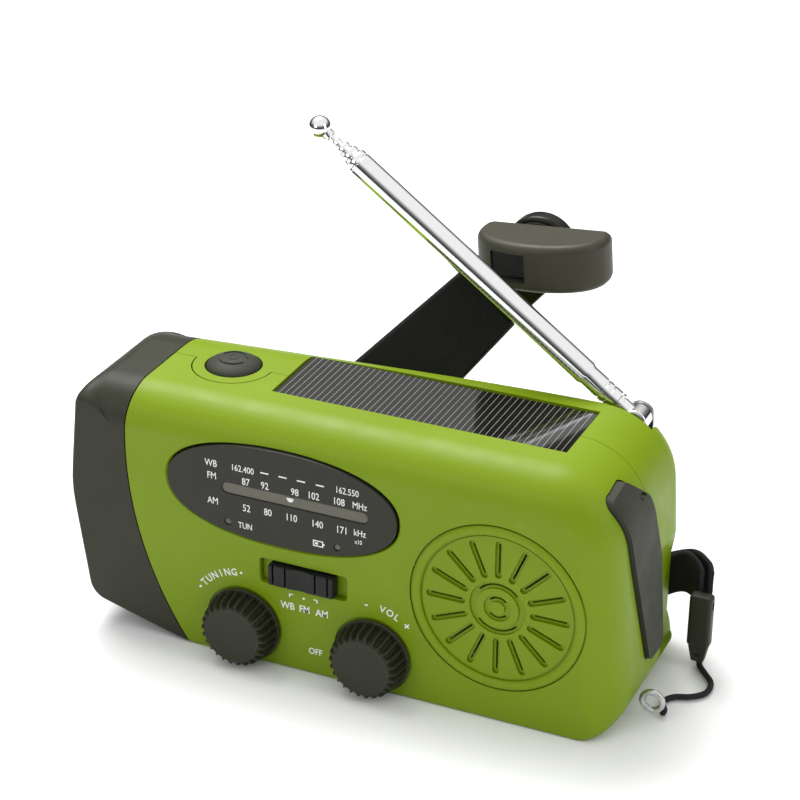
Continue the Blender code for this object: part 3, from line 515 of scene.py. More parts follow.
def case_form(inset=0.0, fine=FINE):
    """The case's outer form: almost sharp front edges low down, rounder back edges towards the torch."""
    outline = rounded_outline(CASE_CORNERS, inset)
    rounds = []
    for (x, z), (x_in, z_in) in zip(outline, rounded_outline(CASE_CORNERS, inset + 0.2)):
        out = Vector((x - x_in, z - z_in)).normalized()
        front = FRONT_ROUND * (SHARP_SHARE + (1 - SHARP_SHARE) * ease((out.x + out.y + 1) / 2))
        swell = BACK_SWELL * ease((-x - SWELL_START) / SWELL_SPAN) * max(out.y, -out.x, 0)
        rounds.append(((x, z), max(front - inset, 0.3), max(BACK_ROUND + swell - inset, 0.3)))
    half = HALF_DEPTH - inset
    rings = []
    for face, index, largest, steps in ((-1, 1, FRONT_ROUND, range(fine + 1)),
                                        (1, 2, BACK_ROUND + BACK_SWELL, range(fine, -1, -1))):
        for step in steps:
            t = math.pi / 2 * step / fine
            deep = rounded_outline(CASE_CORNERS, inset + largest * (1 - math.sin(t)))
            ring = []
            for point, (x_deep, z_deep) in zip(rounds, deep):
                (x, z), radius = point[0], point[index]
                share = radius / largest
                y = face * (half - radius * (1 - math.cos(t)))
                ring.append(at(x + (x_deep - x) * share, y, z + (z_deep - z) * share))
            rings.append(ring)
    return loft(rings)


def arc_cutter(radius):
    return rod(at(CAP_ARC_X, -40, CAP_ARC_Z), at(CAP_ARC_X, 40, CAP_ARC_Z), radius, sides=360)


def oval(centre, half, power=2.0, count=120):
    """An ellipse, or a fuller one with a power above 2."""
    points = []
    for i in range(count):
        t = 2 * math.pi * i / count
        c, s = math.cos(t), math.sin(t)
        points.append((centre[0] + half[0] * math.copysign(abs(c) ** (2 / power), c),
                       centre[1] + half[1] * math.copysign(abs(s) ** (2 / power), s)))
    return points


def capsule(centre, half_u, half_v, count=24):
    """A stadium outline along its longer side."""
    tall = half_v > half_u
    radius, reach = min(half_u, half_v), abs(half_u - half_v)
    points = []
    for side in (1, -1):
        for i in range(count + 1):
            t = math.pi * i / count - (0 if tall else math.pi / 2)
            u, v = radius * math.cos(t), radius * math.sin(t)
            if tall:
                points.append((centre[0] + side * u, centre[1] + side * (v + reach)))
            else:
                points.append((centre[0] + side * (u + reach), centre[1] + side * v))
    return points


FLAP_CORNERS = ((-4.5, 12, 2), (4.2, 11.5, 2), (3.6, 34, 6), (-1.5, 50, 3), (-8, 55.5, 2), (-17, 55, 2),
                (-12.5, 38, 20))


def flap_prism(spread=0.0):
    return plate(rounded_outline(FLAP_CORNERS, -spread, 8), 40, 80, "YZ")


DIAL = middle("dial_lens")
TUNING, VOLUME, SWITCH = middle("tuning_knob"), middle("volume_knob"), middle("band_slider")
SPEAKER = middle("speaker_frame")
BUTTON = middle("torch_button")
PANEL_LOW, PANEL_HIGH = (Vector(corner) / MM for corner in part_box("solar_panel"))
DOOR_LOW, DOOR_HIGH = (Vector(corner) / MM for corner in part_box("battery_door"))
SCREWS = [middle("case_screw_%d" % i) for i in (1, 2, 3)]
DIAL_HALF, DIAL_POWER, DIAL_FACE = (27.1, 11.4), 2.25, -22.9
DIAL_LAMPS = (("tune", -25.1, 34.0), ("charge", 0.93, 33.8))
TRACK_X, TRACK_Z, TRACK_HALF = -9.1, 42.3, 17.1
LETTER_SHARE = 0.80
SLOT_HALF = (10.3, 3.0)
SPEAKER_RING = 19.35
BUTTON_R, BUTTON_RING_R = 6.1, 9.0


def flare(outline, centre, depth, lip):
    """A cutter into the front face, whose mouth opens by a small chamfer."""
    def grown(extra):
        made = []
        for x, z in outline:
            out = Vector((x - centre[0], z - centre[1]))
            made.append((x + out.normalized().x * extra, z + out.normalized().y * extra))
        return made
    rings = ((FRONT - 2, lip + 2), (FRONT + lip, 0), (FRONT + depth, 0))
    return loft([[at(x, y, z) for x, z in grown(extra)] for y, extra in rings])


def case_cavity(*ribs):
    """The hollow of the case, less the seat of the solar panel and any ribs."""
    return cut(case_form(WALL, 6), box(at(-23, -11, 57), at(48.5, 13, 60)), *ribs)


def top_cutters():
    """The recess of the solar panel and the hole of the torch button."""
    recess = box(at(PANEL_LOW.x - GAP, PANEL_LOW.y - GAP, 58.6),
                 at(PANEL_HIGH.x + GAP, PANEL_HIGH.y + GAP, 62))
    hole = rod(at(BUTTON.x, BUTTON.y, 50), at(BUTTON.x, BUTTON.y, 66), BUTTON_R + GAP)
    return recess, hole


def port_cutters():
    """The flap's seat and the holes of the two sockets behind it."""
    seat = cut(flap_prism(GAP), case_form(1.0))
    return (seat, box(at(58, -2.3, 35.7), at(70, 0.4, 43.5)), rod(at(57, -1.9, 24), at(70, -1.9, 24), 3.3))


def grille_cutters():
    """Sixteen round-ended slots, and arcs at the top and bottom of two rings."""
    x, z = SPEAKER.x, SPEAKER.z
    slots = []
    for half_width, near, far, depth in ((0.78, 8.0, 15.3, -21.55), (0.22, 8.3, 15.0, -18)):
        for i in range(16):
            turn = Matrix.Rotation(2 * math.pi * i / 16, 2)
            ring = []
            for end, where in ((1, far), (-1, near)):
                for k in range(9):
                    a = math.pi * (k / 8 - 0.5)
                    point = turn @ Vector((where + end * half_width * math.cos(a),
                                           end * half_width * math.sin(a)))
                    ring.append((x + point.x, z + point.y))
            slots.append(plate(ring, -26, depth))
    channels, slits = merge(*slots[:16]), slots[16:]
    for radius, sweep in ((5.5, 50), (2.35, 48)):
        for side in (90, 270):
            arc = arc_band(radius, 0.24, side - sweep, side + sweep, 20, (x, z))
            slits.append(plate(arc, -26, -18))
    return channels, merge(*slits)


def ring_cut(radii, low, high, x, z):
    """A square-sided ring groove in the front face."""
    inner, outer = radii
    return turned([(inner, low), (outer, low), (outer, high), (inner, high)], at(x, 0, z))


def front_shell():
    shell = keep(case_form(), arc_cutter(CAP_ARC_R - GAP / 2))
    cavity = case_cavity()
    cut(shell, cavity, box(at(-90, SPLIT_Y - SEAM / 2, -10), at(90, 40, 80)),
        rod(at(BUTTON.x, BUTTON.y, 50), at(BUTTON.x, BUTTON.y, 70), BUTTON_RING_R + GAP, sides=96))
    cut(shell, *top_cutters())
    cut(shell, *port_cutters())
    hole = oval((DIAL.x, DIAL.z), (DIAL_HALF[0] + 0.35, DIAL_HALF[1] + 0.35), DIAL_POWER)
    half_x, half_z = SLOT_HALF
    slot = rounded_outline([(SWITCH.x + side * half_x, SWITCH.z + up * half_z, 0.8)
                            for side, up in ((1, -1), (1, 1), (-1, 1), (-1, -1))])
    cut(shell, flare(hole, (DIAL.x, DIAL.z), 5, 0.35), flare(slot, (SWITCH.x, SWITCH.z), 1.7, 0.25),
        box(at(SWITCH.x - 4.2, -26, SWITCH.z - 1.4), at(SWITCH.x + 4.2, -18, SWITCH.z + 1.4)))
    for knob in (TUNING, VOLUME):
        cut(shell, rod(at(knob.x, -26, knob.z), at(knob.x, -18, knob.z), 3.6),
            turned([(0, -26), (9.6, -26), (9.1, -22.1), (0, -22.1)], at(knob.x, 0, knob.z)))
    x, z = SPEAKER.x, SPEAKER.z
    cut(shell, ring_cut((19.4, 19.75), -26, -21.9, x, z))
    cut(shell, turned([(0, -26), (17.3, -26), (17.3, -22.0), (16.9, -22.0), (16.9, -22.2), (0, -22.2)],
                      at(x, 0, z)))
    cut(shell, *grille_cutters())
    cut(shell, ring_cut((4.7, 6.3), -26, -21.75, x, z), ring_cut((1.55, 3.1), -26, -21.75, x, z))
    show(shell, "front_case", "lime", "case", "front_shell")
    profile = [(SPEAKER_RING - 2.0, -21.6)]
    profile += [(SPEAKER_RING - 1.0 - 1.0 * math.cos(t), -22.35 - 0.62 * math.sin(t))
                for t in (math.pi * k / 12 for k in range(13))]
    profile += [(SPEAKER_RING, -21.6)]
    show(turned(profile, at(x, 0, z), steps=160), "grille_ring", "lime", "case")


def rear_ribs():
    ribs = [box(at(-45.9, 12.5, 50.5), at(70, 30, 70)), box(at(43.5, 12.2, 48.5), at(70, 30, 70)),
            rod(at(CRANK.x, 12.6, CRANK.z), at(CRANK.x, 30, CRANK.z), 21, sides=96),
            box(at(-20, 12.6, 23), at(56.5, 30, 47)), box(at(27, 1.5, 26.6), at(63, 30, 43.4)),
            box(at(58.4, 3, 3), at(70, 30, 38))]
    for screw in SCREWS:
        ribs.append(rod(at(screw.x, 1, screw.z), at(screw.x, 30, screw.z), 3.6))
    return ribs


def rear_shell():
    shell = keep(case_form(), arc_cutter(CAP_ARC_R - GAP / 2))
    cavity = case_cavity(*rear_ribs())
    half = box(at(-90, -40, -10), at(90, SPLIT_Y + SEAM / 2, 80))
    cut(half, rod(at(BUTTON.x, BUTTON.y, 50), at(BUTTON.x, BUTTON.y, 90), BUTTON_RING_R, sides=96))
    cut(shell, cavity, half)
    cut(shell, *top_cutters())
    cut(shell, *port_cutters())
    dish = turned([(0, 13.9), (10.6, 13.9), (20.2, 23.2), (20.2, 30), (0, 30)], at(CRANK.x, 0, CRANK.z))
    channel = plate([(-20, 24.2), (46, 25.8), (54, 29), (54, 41), (46, 44.2), (-20, 45.8)], 15.6, 30)
    cut(shell, dish, channel, box(at(28.6, 2.8, 28.2), at(59.5, 30, 41.8)),
        rod(at(CRANK.x, 10, CRANK.z), at(CRANK.x, 16, CRANK.z), 2.8))
    cut(shell, rod(at(-43.4, 18.3, 56), at(50, 18.3, 56), 3.2), box(at(-43.4, 15.1, 56), at(50, 30, 66)),
        box(at(46.5, 14.8, 50.8), at(56.6, 21.8, 70)))
    cut(shell, box(at(DOOR_LOW.x - GAP, 19, DOOR_LOW.z - GAP), at(DOOR_HIGH.x + GAP, 26, DOOR_HIGH.z + GAP)))
    cut(shell, plate([(72, 37), (64.2, 36), (62.4, 31), (60.9, 24), (60.6, 9), (62.4, 5.4), (72, 5)], 5.2,
                     30))
    for screw in SCREWS:
        cut(shell, rod(at(screw.x, -2, screw.z), at(screw.x, 26, screw.z), 1.5, sides=32),
            rod(at(screw.x, 19.4, screw.z), at(screw.x, 26, screw.z), 3.0, sides=48))
    show(shell, "rear_case", "lime", "case", "rear_shell")


def torch_cap():
    cap = cut(case_form(), arc_cutter(CAP_ARC_R + GAP / 2))
    cut(cap, case_form(WALL, 6))
    cut(cap, plate(capsule((TORCH_Y, TORCH_Z), 10.5, 20.0), -80, -50, "YZ"))
    show(cap, "torch_housing", "charcoal", "case", "torch_cap")


# ---- torch ----

def torch():
    lens = soften(plate(capsule((TORCH_Y, TORCH_Z), 10.2, 19.7), -63.2, -61.4, "YZ"), 0.4)
    show(lens, "torch_window", "clear", "case", "torch_lens")
    reflector = plate(capsule((TORCH_Y, TORCH_Z), 9.7, 19.2), -61.0, -53.6, "YZ")
    for i, z in enumerate(TORCH_LAMPS):
        bowl = [(0, -61.6)] + [(5.9 - 2.9 * (k / 10) ** 1.6,
                                -61.6 + 6.6 * k / 10) for k in range(11)] + [(0, -55)]
        cut(reflector, turned(bowl, at(0, TORCH_Y, z), "X"),
            rod(at(-58, TORCH_Y, z), at(-50, TORCH_Y, z), 2.8))
        dome = [(0, -59.2)] + [(2.5 * math.sin(t), -56.7 - 2.5 * math.cos(t)) for t in
                               (math.pi / 2 * k / 8 for k in range(1, 9))] + [(2.5, -51.2), (0, -51.2)]
        name = "torch_led_%d" % (i + 1)
        show(turned(dome, at(0, TORCH_Y, z), "X", 32), "lamp_%d" % (i + 1), MILKY, "case", name)
    show(reflector, "torch_bowls", "chrome", "case", "torch_reflector")


# ---- dial, lamps and print ----

def dial():
    x, z = DIAL.x, DIAL.z
    window = plate(oval((x, z), DIAL_HALF, DIAL_POWER), DIAL_FACE, -20.9)
    cut(window, plate(capsule((TRACK_X, TRACK_Z), TRACK_HALF + 0.1, 1.3), -26, -22.55))
    for _, lamp_x, lamp_z in DIAL_LAMPS:
        cut(window, rod(at(lamp_x, -26, lamp_z), at(lamp_x, -22.5, lamp_z), 0.8, sides=24))
    soften(window, 0.22, 2)
    show(window, "dial_window", DIAL_COAT, "case", "dial_lens")
    show(plate(capsule((TRACK_X, TRACK_Z), TRACK_HALF, 1.2), -22.62, -22.3), "dial_track", DIAL_TRACK,
         "case", "dial_plate")
    tip = [(-10.0 + 0.85 * math.cos(t), 43.2 + 1.0 * math.sin(t))
           for t in (math.pi * (1 + k / 10) for k in range(11))]
    show(soften(plate(tip, -22.85, -22.66), 0.06, 2), "scale_pointer", "white_plastic", "pointer",
         "dial_pointer")
    for name, lamp_x, lamp_z in DIAL_LAMPS:
        dome = [(0, -22.75), (0.45, -22.7), (0.7, -22.55), (0.75, -22.3), (0, -22.3)]
        show(turned(dome, at(lamp_x, 0, lamp_z), steps=24), name + "_lamp", DIAL_TRACK, "case",
             name + "_led")


def outlined(low_x, low_z, high_x, high_z):
    """The corners of an upright rectangle."""
    return [(low_x, low_z), (high_x, low_z), (high_x, high_z), (low_x, high_z)]


def dial_lettering():
    """Band names, frequencies and the battery sign on the dial."""
    entries = []
    for words, tx, tz, high in (
            ("WB", -28.7, 47.6, 2.0), ("FM", -28.6, 44.6, 2.0), ("AM", -28.6, 38.5, 2.0),
            ("162.400", -21.0, 47.7, 1.9), ("162.550", 3.5, 47.9, 1.9), ("87", -20.4, 44.8, 2.1),
            ("92", -15.9, 44.9, 2.1), ("98", -8.8, 45.0, 2.1), ("102", -4.3, 45.1, 2.1),
            ("108", 1.6, 45.1, 2.1), ("MHz", 6.3, 45.1, 1.9), ("52", -20.4, 38.4, 2.1),
            ("80", -15.3, 38.6, 2.1), ("110", -9.6, 38.6, 2.1), ("140", -3.5, 38.5, 2.1),
            ("171", 2.1, 38.4, 2.1), ("kHz", 6.3, 38.6, 1.9), ("x10", 5.9, 36.4, 1.3),
            ("TUN", -20.9, 33.9, 1.8)):
        entries.append((text_mesh(words, high * LETTER_SHARE, 0.80, 0.004), tx, DIAL_FACE, tz, 0))
    for dash in (-15.9, -11.6, -7.3, -2.9):
        entries.append(mark(outlined(dash - 0.95, 47.75, dash + 0.95, 48.05), DIAL_FACE))
    for corners in ((-4.7, 33.0, -2.3, 33.25), (-4.7, 34.25, -2.3, 34.5), (-4.7, 33.25, -4.45, 34.25),
                    (-2.55, 33.25, -2.3, 34.25), (-2.3, 33.5, -2.0, 34.0), (-4.2, 33.5, -3.5, 34.0)):
        entries.append(mark(outlined(*corners), DIAL_FACE))
    printed("dial_print", "case", entries)


def front_lettering():
    """Names of the controls, set round the knobs and over the slider's three places."""
    entries = []
    for i, letter in enumerate(("dot", *"TUNING", "dot")):
        angle = 148 - 8.0 * i
        t = math.radians(angle)
        px, pz = TUNING.x + 12.6 * math.cos(t), TUNING.z + 12.6 * math.sin(t)
        if letter == "dot":
            entries.append(mark(disc_outline(px, pz, 0.3), FRONT))
        else:
            entries.append((text_mesh(letter, 1.75, 0.86, 0.012), px, FRONT, pz, 90 - angle))
    for letter, angle, high in (("-", 97, 0.35), ("V", 79, 1.7), ("O", 70.5, 1.75), ("L", 62, 1.7),
                                ("+", 49, 1.5)):
        t = math.radians(angle)
        entries.append((text_mesh(letter, high, 0.9, 0.012), VOLUME.x + 12.2 * math.cos(t), FRONT,
                        VOLUME.z + 12.2 * math.sin(t), 90 - angle))
    for words, tx, tz, high in (("OFF", -4.7, 6.0, 1.6), ("WB", -11.3, 16.2, 1.75), ("FM", -7.2, 16.2, 1.75),
                                ("AM", -3.1, 16.2, 1.75)):
        entries.append((text_mesh(words, high, 0.86, 0.012), tx, FRONT, tz, 0))
    for corners in ((-10.9, 18.5, -10.6, 19.1), (-10.9, 19.1, -9.9, 19.35), (-4.3, 18.5, -4.0, 19.1),
                    (-5.0, 19.1, -4.0, 19.35)):
        entries.append(mark(outlined(*corners), FRONT))
    entries.append(mark(disc_outline(-7.35, 18.9, 0.28), FRONT))
    printed("front_print", "case", entries)


# ---- knobs and slider ----

def knob(name, node, body):
    """Twenty-six narrow ribs with hollow flutes between them, round a flat matt face."""
    centre = middle(node)
    ribs, per_rib = 26, 12
    rings = []
    for y, root, rib in ((-22.3, 8.3, 8.3), (-22.75, 8.75, 8.75), (-23.2, 8.8, 8.8), (-23.45, 8.6, 8.6),
                         (-23.5, 7.35, 8.5), (-25.5, 7.1, 8.25), (-27.6, 6.8, 7.95), (-28.2, 6.7, 7.7),
                         (-28.55, 6.65, 7.2), (-28.75, 6.6, 6.85), (-28.85, 6.5, 6.6), (-28.9, 6.35, 6.35),
                         (-28.8, 6.1, 6.1), (-28.78, 5.8, 5.8)):
        ring = []
        for i in range(ribs * per_rib):
            t = 2 * math.pi * i / (ribs * per_rib)
            phase = abs(((i / per_rib) % 1) - 0.5) * 2
            wave = max(0.0, (phase - 0.45) / 0.55) ** 1.1
            r = root + (rib - root) * min(wave * 1.5, 1.0)
            ring.append(at(centre.x + r * math.cos(t), y, centre.z + r * math.sin(t)))
        rings.append(ring)
    body_shape = loft(rings)
    join(body_shape, rod(at(centre.x, -22.8, centre.z), at(centre.x, -15.4, centre.z), 3.0))
    show(body_shape, name, "charcoal", body, node)


def slider():
    x, z = SWITCH.x, SWITCH.z
    bar = soften(box(at(x - 7.75, -24.0, z - 2.5), at(x + 7.75, -21.1, z + 2.5)), 0.4)
    for share in (0.08, 0.27, 0.73, 0.92):
        gx = x - 7.75 + 15.5 * share
        cut(bar, box(at(gx - 0.22, -26, z - 4), at(gx + 0.22, -23.35, z + 4)))
    cut(bar, rod(at(x, -32.6, z - 4), at(x, -32.6, z + 4), 9.1, sides=160))
    join(bar, box(at(x - 1.5, -21.5, z - 1), at(x + 1.5, -19.8, z + 1)))
    show(bar, "band_selector", "black_plastic", "band", "band_slider")


# ---- crank ----

TURN = Matrix.Translation(CRANK * MM) @ Matrix.Rotation(-CRANK_TURN, 4, "Y")
ARM_RISE, ARM_PAD, ARM_HALF = 48.3, 19.0, 2.2
GRIP_TILT = math.radians(-4.6)


def crank():
    """The hub with its hinge pin, the lever that folds on it and the grip on the lever's stud."""
    hub = soften(rod(at(0, -4.3, 0), at(0, -3.1, 0), 9.8, sides=96), 0.3)
    join(hub, box(at(-2.6, -3.4, -4), at(2.6, 0, 4)), rod(at(0, 0, -4), at(0, 0, 4), 2.6),
         rod(at(0, -14, 0), at(0, -4, 0), 2.4))
    cut(hub, rod(at(0, 0, -6), at(0, 0, 6), 1.5, sides=32))
    show(move(hub, TURN), "crank_disc", "black_plastic", "crank_rotor", "crank_hub")
    pin = soften(rod(at(0, 0, -9.4), at(0, 0, 9.4), 1.2, sides=32), 0.2, 2)
    show(move(pin, TURN), "hinge_pin", "steel", "crank_rotor", "crank_hinge_pin")

    outline = [(-2.2, -9.8), (3, -10), (12, -11.4), (ARM_RISE + 1.2, -8.9), (ARM_RISE + 1.2, 8.3),
               (3, 10), (-2.2, 9.8)]
    arm = soften(plate(outline, -ARM_HALF, ARM_HALF), 0.9)
    join(arm, rod(at(0, 0, -9.7), at(0, 0, 9.7), 2.45))
    cut(arm, box(at(-4, -4, -4.4), at(3.4, 4, 4.4)), rod(at(0, 0, -12), at(0, 0, 12), 1.5, sides=32))
    spot = Matrix.Translation(at(34, 0, 0))
    arrow = merge(*(plate(outline, -ARM_HALF - 0.12, -ARM_HALF + 0.12)
                    for outline in (arc_band(4.2, 0.2, 60, 350, 40), [(2.6, 1.2), (5.8, 1.2), (4.2, 3.6)])))
    join(arm, move(arrow, spot))
    move(arm, Matrix.Rotation(CRANK_LIFT, 4, "Z"))
    bend = Vector((ARM_RISE * math.cos(CRANK_LIFT), ARM_RISE * math.sin(CRANK_LIFT)))
    pad = [(bend.x - 1.2, -8.4)]
    pad += [(bend.x + ARM_PAD + 8 * math.sin(t), -8 * math.cos(t))
            for t in (math.pi * k / 40 for k in range(41))]
    pad += [(bend.x - 1.2, 8.4)]
    end = soften(plate(pad, bend.y - ARM_HALF, bend.y + ARM_HALF), 0.9)
    boss = turned([(0, bend.y - 2.9), (6.4, bend.y - 2.9), (6.9, bend.y - 2.6), (7.2, bend.y), (0, bend.y)],
                  at(bend.x + ARM_PAD, 0, 0))
    join(arm, end, boss, rod(at(bend.x + ARM_PAD, bend.y - 11, 0), at(bend.x + ARM_PAD, bend.y, 0), 2.2))
    show(move(arm, TURN), "crank_lever", ARM_LOOK, "crank", "crank_arm")

    tip = CRANK + (Matrix.Rotation(-CRANK_TURN, 3, "Y") @ Vector((bend.x + ARM_PAD, bend.y, 0)))
    half_width, belly = 15.0, 14.2
    outline = [(half_width, -3.2), (half_width - 0.4, -1.2), (half_width - 1.6, 0), (-half_width + 1.6, 0),
               (-half_width + 0.4, -1.2), (-half_width, -3.2)]
    outline += [(-half_width * math.cos(t), -3.2 - (belly - 3.2) * math.sin(t) ** 0.75)
                for t in (math.pi * i / 48 for i in range(1, 48))]
    grip = soften(plate(outline, -5.5, 5.5, "XY"), 1.8, 5, 50)
    cut(grip, soften(box(at(-9.5, -30, -3.3), at(-1.0, -11.2, 3.3)), 0.4, 2))
    cut(grip, box(at(11.9, -30, -8), at(12.15, -11.6, 8)))
    cut(move(grip, Matrix.Translation(at(*KNOB_SHIFT))), rod(at(0, -8.4, 0), at(0, 4, 0), 2.5))
    insert = move(soften(box(at(-9.35, -11.7, -3.15), at(-1.15, -11.1, 3.15)), 0.2, 2),
                  Matrix.Translation(at(*KNOB_SHIFT)))
    place = (Matrix.Translation(at(*tip)) @ Matrix.Translation(at(0, -ARM_HALF - 0.75, 0))
             @ Matrix.Rotation(GRIP_TILT, 4, "Y"))
    show(move(grip, place), "crank_grip", GRIP_LOOK, "grip", "crank_knob")
    show(move(insert, place), "grip_insert", "black_plastic", "grip")


# ---- antenna ----

SWING = Matrix.Translation(ANTENNA * MM) @ Matrix.Rotation(-(math.pi / 2 - ANTENNA_RISE), 4, "Y")
TUBES = ((2.75, 2.4), (2.2, 1.85), (1.65, 1.3), (1.1, 0.75))
NECK = 2.42
REACH = 91.6
BALL_R = 2.5


def antenna():
    """Yoke and axle at the case, the joint, four nested tubes and the ball-ended rod."""
    bracket = box(at(47.6, 15.1, 51.2), at(55.8, 21.5, 52.4))
    for low, high in ((15.1, 15.9), (20.7, 21.5)):
        join(bracket, box(at(49, low, 51.4), at(55, high, 56)), rod(at(52, low, 56), at(52, high, 56), 3.0))
    cut(bracket, rod(at(52, 14, 56), at(52, 23, 56), 1.2, sides=32))
    show(bracket, "antenna_yoke", "steel", "case", "antenna_bracket")
    show(soften(rod(at(52, 15, 56), at(52, 21.6, 56), 0.9, sides=32), 0.15, 2), "antenna_axle", "steel",
         "case", "antenna_pin")
    knuckle = soften(rod(at(0, -2.1, 0), at(0, 2.1, 0), 2.9), 0.35)
    neck = turned([(0, 1), (2.0, 1), (2.0, 4.6), (2.45, 4.9), (2.45, 5.6), (1.6, 5.7), (1.6, 8), (0, 8)],
                  axis="Z")
    join(knuckle, neck)
    cut(knuckle, rod(at(0, -3, 0), at(0, 3, 0), 1.2, sides=32))
    show(move(knuckle, SWING), "antenna_joint", "chrome", "antenna_base", "antenna_knuckle")
    start, end = 5.9, REACH - 10
    for i, (outer, inner) in enumerate(TUBES):
        low, high = (start if i == 0 else start + 3 + i), end + 1.9 * i
        profile = [(inner, low), (outer - 0.15, low), (outer, low + 0.2)]
        if i == 0:
            profile = [(inner, low + 9.2), (NECK - 0.2, low + 8.6), (NECK - 0.2, low), (NECK, low)]
            for groove in (1.8, 3.4):
                profile += [(NECK, low + groove), (NECK - 0.15, low + groove + 0.15),
                            (NECK - 0.15, low + groove + 0.5), (NECK, low + groove + 0.65)]
            profile += [(NECK, low + 8.0), (outer, low + 8.8)]
        profile += [(outer, high - 1.6), (outer - 0.12, high - 1.45), (outer - 0.12, high - 1.2),
                    (outer, high - 1.05), (outer, high - 0.35), (outer - 0.2, high), (inner, high)]
        body = "antenna_base" if i == 0 else "antenna_%d" % (i + 1)
        tube = move(turned(profile, axis="Z"), SWING)
        show(tube, "mast_%d" % (i + 1), "chrome", body, "antenna_section_%d" % (i + 1))
    profile = [(0, REACH + BALL_R)]
    profile += [(BALL_R * math.sin(t), REACH + BALL_R * math.cos(t)) for t in
                (math.radians(6 * i) for i in range(1, 25))]
    profile += [(1.35, REACH - 2.5), (1.35, REACH - 3.2), (1.2, REACH - 3.4), (0.55, REACH - 3.4),
                (0.55, start + 8), (0, start + 8)]
    show(move(turned(profile, axis="Z", steps=64), SWING), "mast_tip", "chrome", "antenna_5",
         "antenna_section_5")


# ---- flap, covers, top ----

def flap():
    body = keep(flap_prism(), case_form(-1.1))
    cut(body, case_form(0.7))
    soften(body, 0.45, 3, 55)
    cut(body, box(at(58, -6.0, 50.6), at(75, -3.0, 51.8)))
    show(body, "port_cover", "rubber", "flap", "port_flap")


def covers():
    panel = soften(box(PANEL_LOW * MM, PANEL_HIGH * MM), 0.12, 2)
    show(panel, "solar_cells", "solar", "case", "solar_panel")
    dome = [(0, 61.9), (1.2, 61.88), (2.4, 61.75), (3.6, 61.5), (4.6, 61.15), (5.4, 60.7), (5.9, 60.2),
            (6.1, 59.6), (6.1, 56.6), (0, 56.6)]
    button = turned(dome, at(BUTTON.x, BUTTON.y, 0), "Z")
    show(button, "torch_key", "rubber", "button", "torch_button")
    marks = []
    for sweep, radius in (((20, 160), 3.0), ((200, 340), 3.0), ((0, 360), 1.1)):
        marks.append(plate(arc_band(radius, 0.16, *sweep, 30), 60.8, 61.85 if radius < 2 else 61.75, "XY"))
    raised = move(merge(*marks), Matrix.Translation(at(BUTTON.x, BUTTON.y, 0.12)))
    show(raised, "torch_key_marks", "rubber", "button")
    door = soften(box(DOOR_LOW * MM, DOOR_HIGH * MM), 0.4)
    for i in range(5):
        gx = DOOR_HIGH.x - 4 - 1.6 * i
        cut(door, box(at(gx, 22.0, DOOR_LOW.z + 2.4), at(gx + 0.7, 23, DOOR_HIGH.z - 2.4)))
    show(door, "battery_cover", "lime", "door", "battery_door")
    for i, screw in enumerate(SCREWS):
        head = [(0, 21.3), (1.6, 21.25), (2.3, 21.0), (2.6, 20.5), (2.6, 19.7), (1.2, 19.7), (1.2, 1.6),
                (0, 1.6)]
        piece = turned(head, at(screw.x, 0, screw.z), steps=48)
        for turn in (0, 90):
            blade = move(box(at(-1.5, 20.4, -0.3), at(1.5, 22, 0.3)),
                         Matrix.Rotation(math.radians(turn + 20), 4, "Y"))
            cut(piece, move(blade, Matrix.Translation(at(screw.x, 0, screw.z))))
        show(piece, "cross_screw_%d" % (i + 1), "steel", "case", "case_screw_%d" % (i + 1))


# ---- wrist strap ----

# Routes of the band and its cord, as the CAD lays them, in metres
WEBBING_ROUTE = ((0.0694, 0.0169, 0.0186), (0.0672, 0.0196, 0.0196), (0.0632, 0.0230, 0.0186),
                 (0.0560, 0.0239, 0.0140), (0.0440, 0.0239, 0.0084), (0.0280, 0.0239, 0.0060),
                 (0.0140, 0.0239, 0.0060), (0.0112, 0.0253, 0.0060), (0.0140, 0.0267, 0.0060),
                 (0.0280, 0.0266, 0.0060), (0.0440, 0.0266, 0.0084), (0.0560, 0.0266, 0.0140),
                 (0.0646, 0.0246, 0.0186), (0.0696, 0.0204, 0.0194), (0.0714, 0.0174, 0.0186))
CORD_ROUTE = ((0.0700, 0.0182, 0.0010), (0.0708, 0.0150, 0.0009), (0.0730, 0.0122, 0.0009),
              (0.0754, 0.009, 0.0009), (0.0756, 0.005, 0.0009), (0.0732, 0.0022, 0.0009),
              (0.0698, 0.0006, 0.0009), (0.0682, -0.0022, 0.0009), (0.0696, -0.0052, 0.0011),
              (0.0699, -0.0074, 0.0017))
BAND_HALF = 5.2
WEAVE_PITCH = 0.95


def smooth_route(points, count):
    """Points along a Catmull-Rom curve through a route."""
    route = [Vector(p) for p in points]
    spans = len(route) - 1
    made = []
    for k in range(count):
        s = spans * k / (count - 1)
        i = min(int(s), spans - 1)
        t = s - i
        a, b, c, d = (route[min(max(i + n, 0), spans)] for n in (-1, 0, 1, 2))
        bend = (a * 2 - b * 5 + c * 4 - d) * t * t + (b * 3 - a - c * 3 + d) * t ** 3
        made.append((b * 2 + (c - a) * t + bend) / 2)
    return made


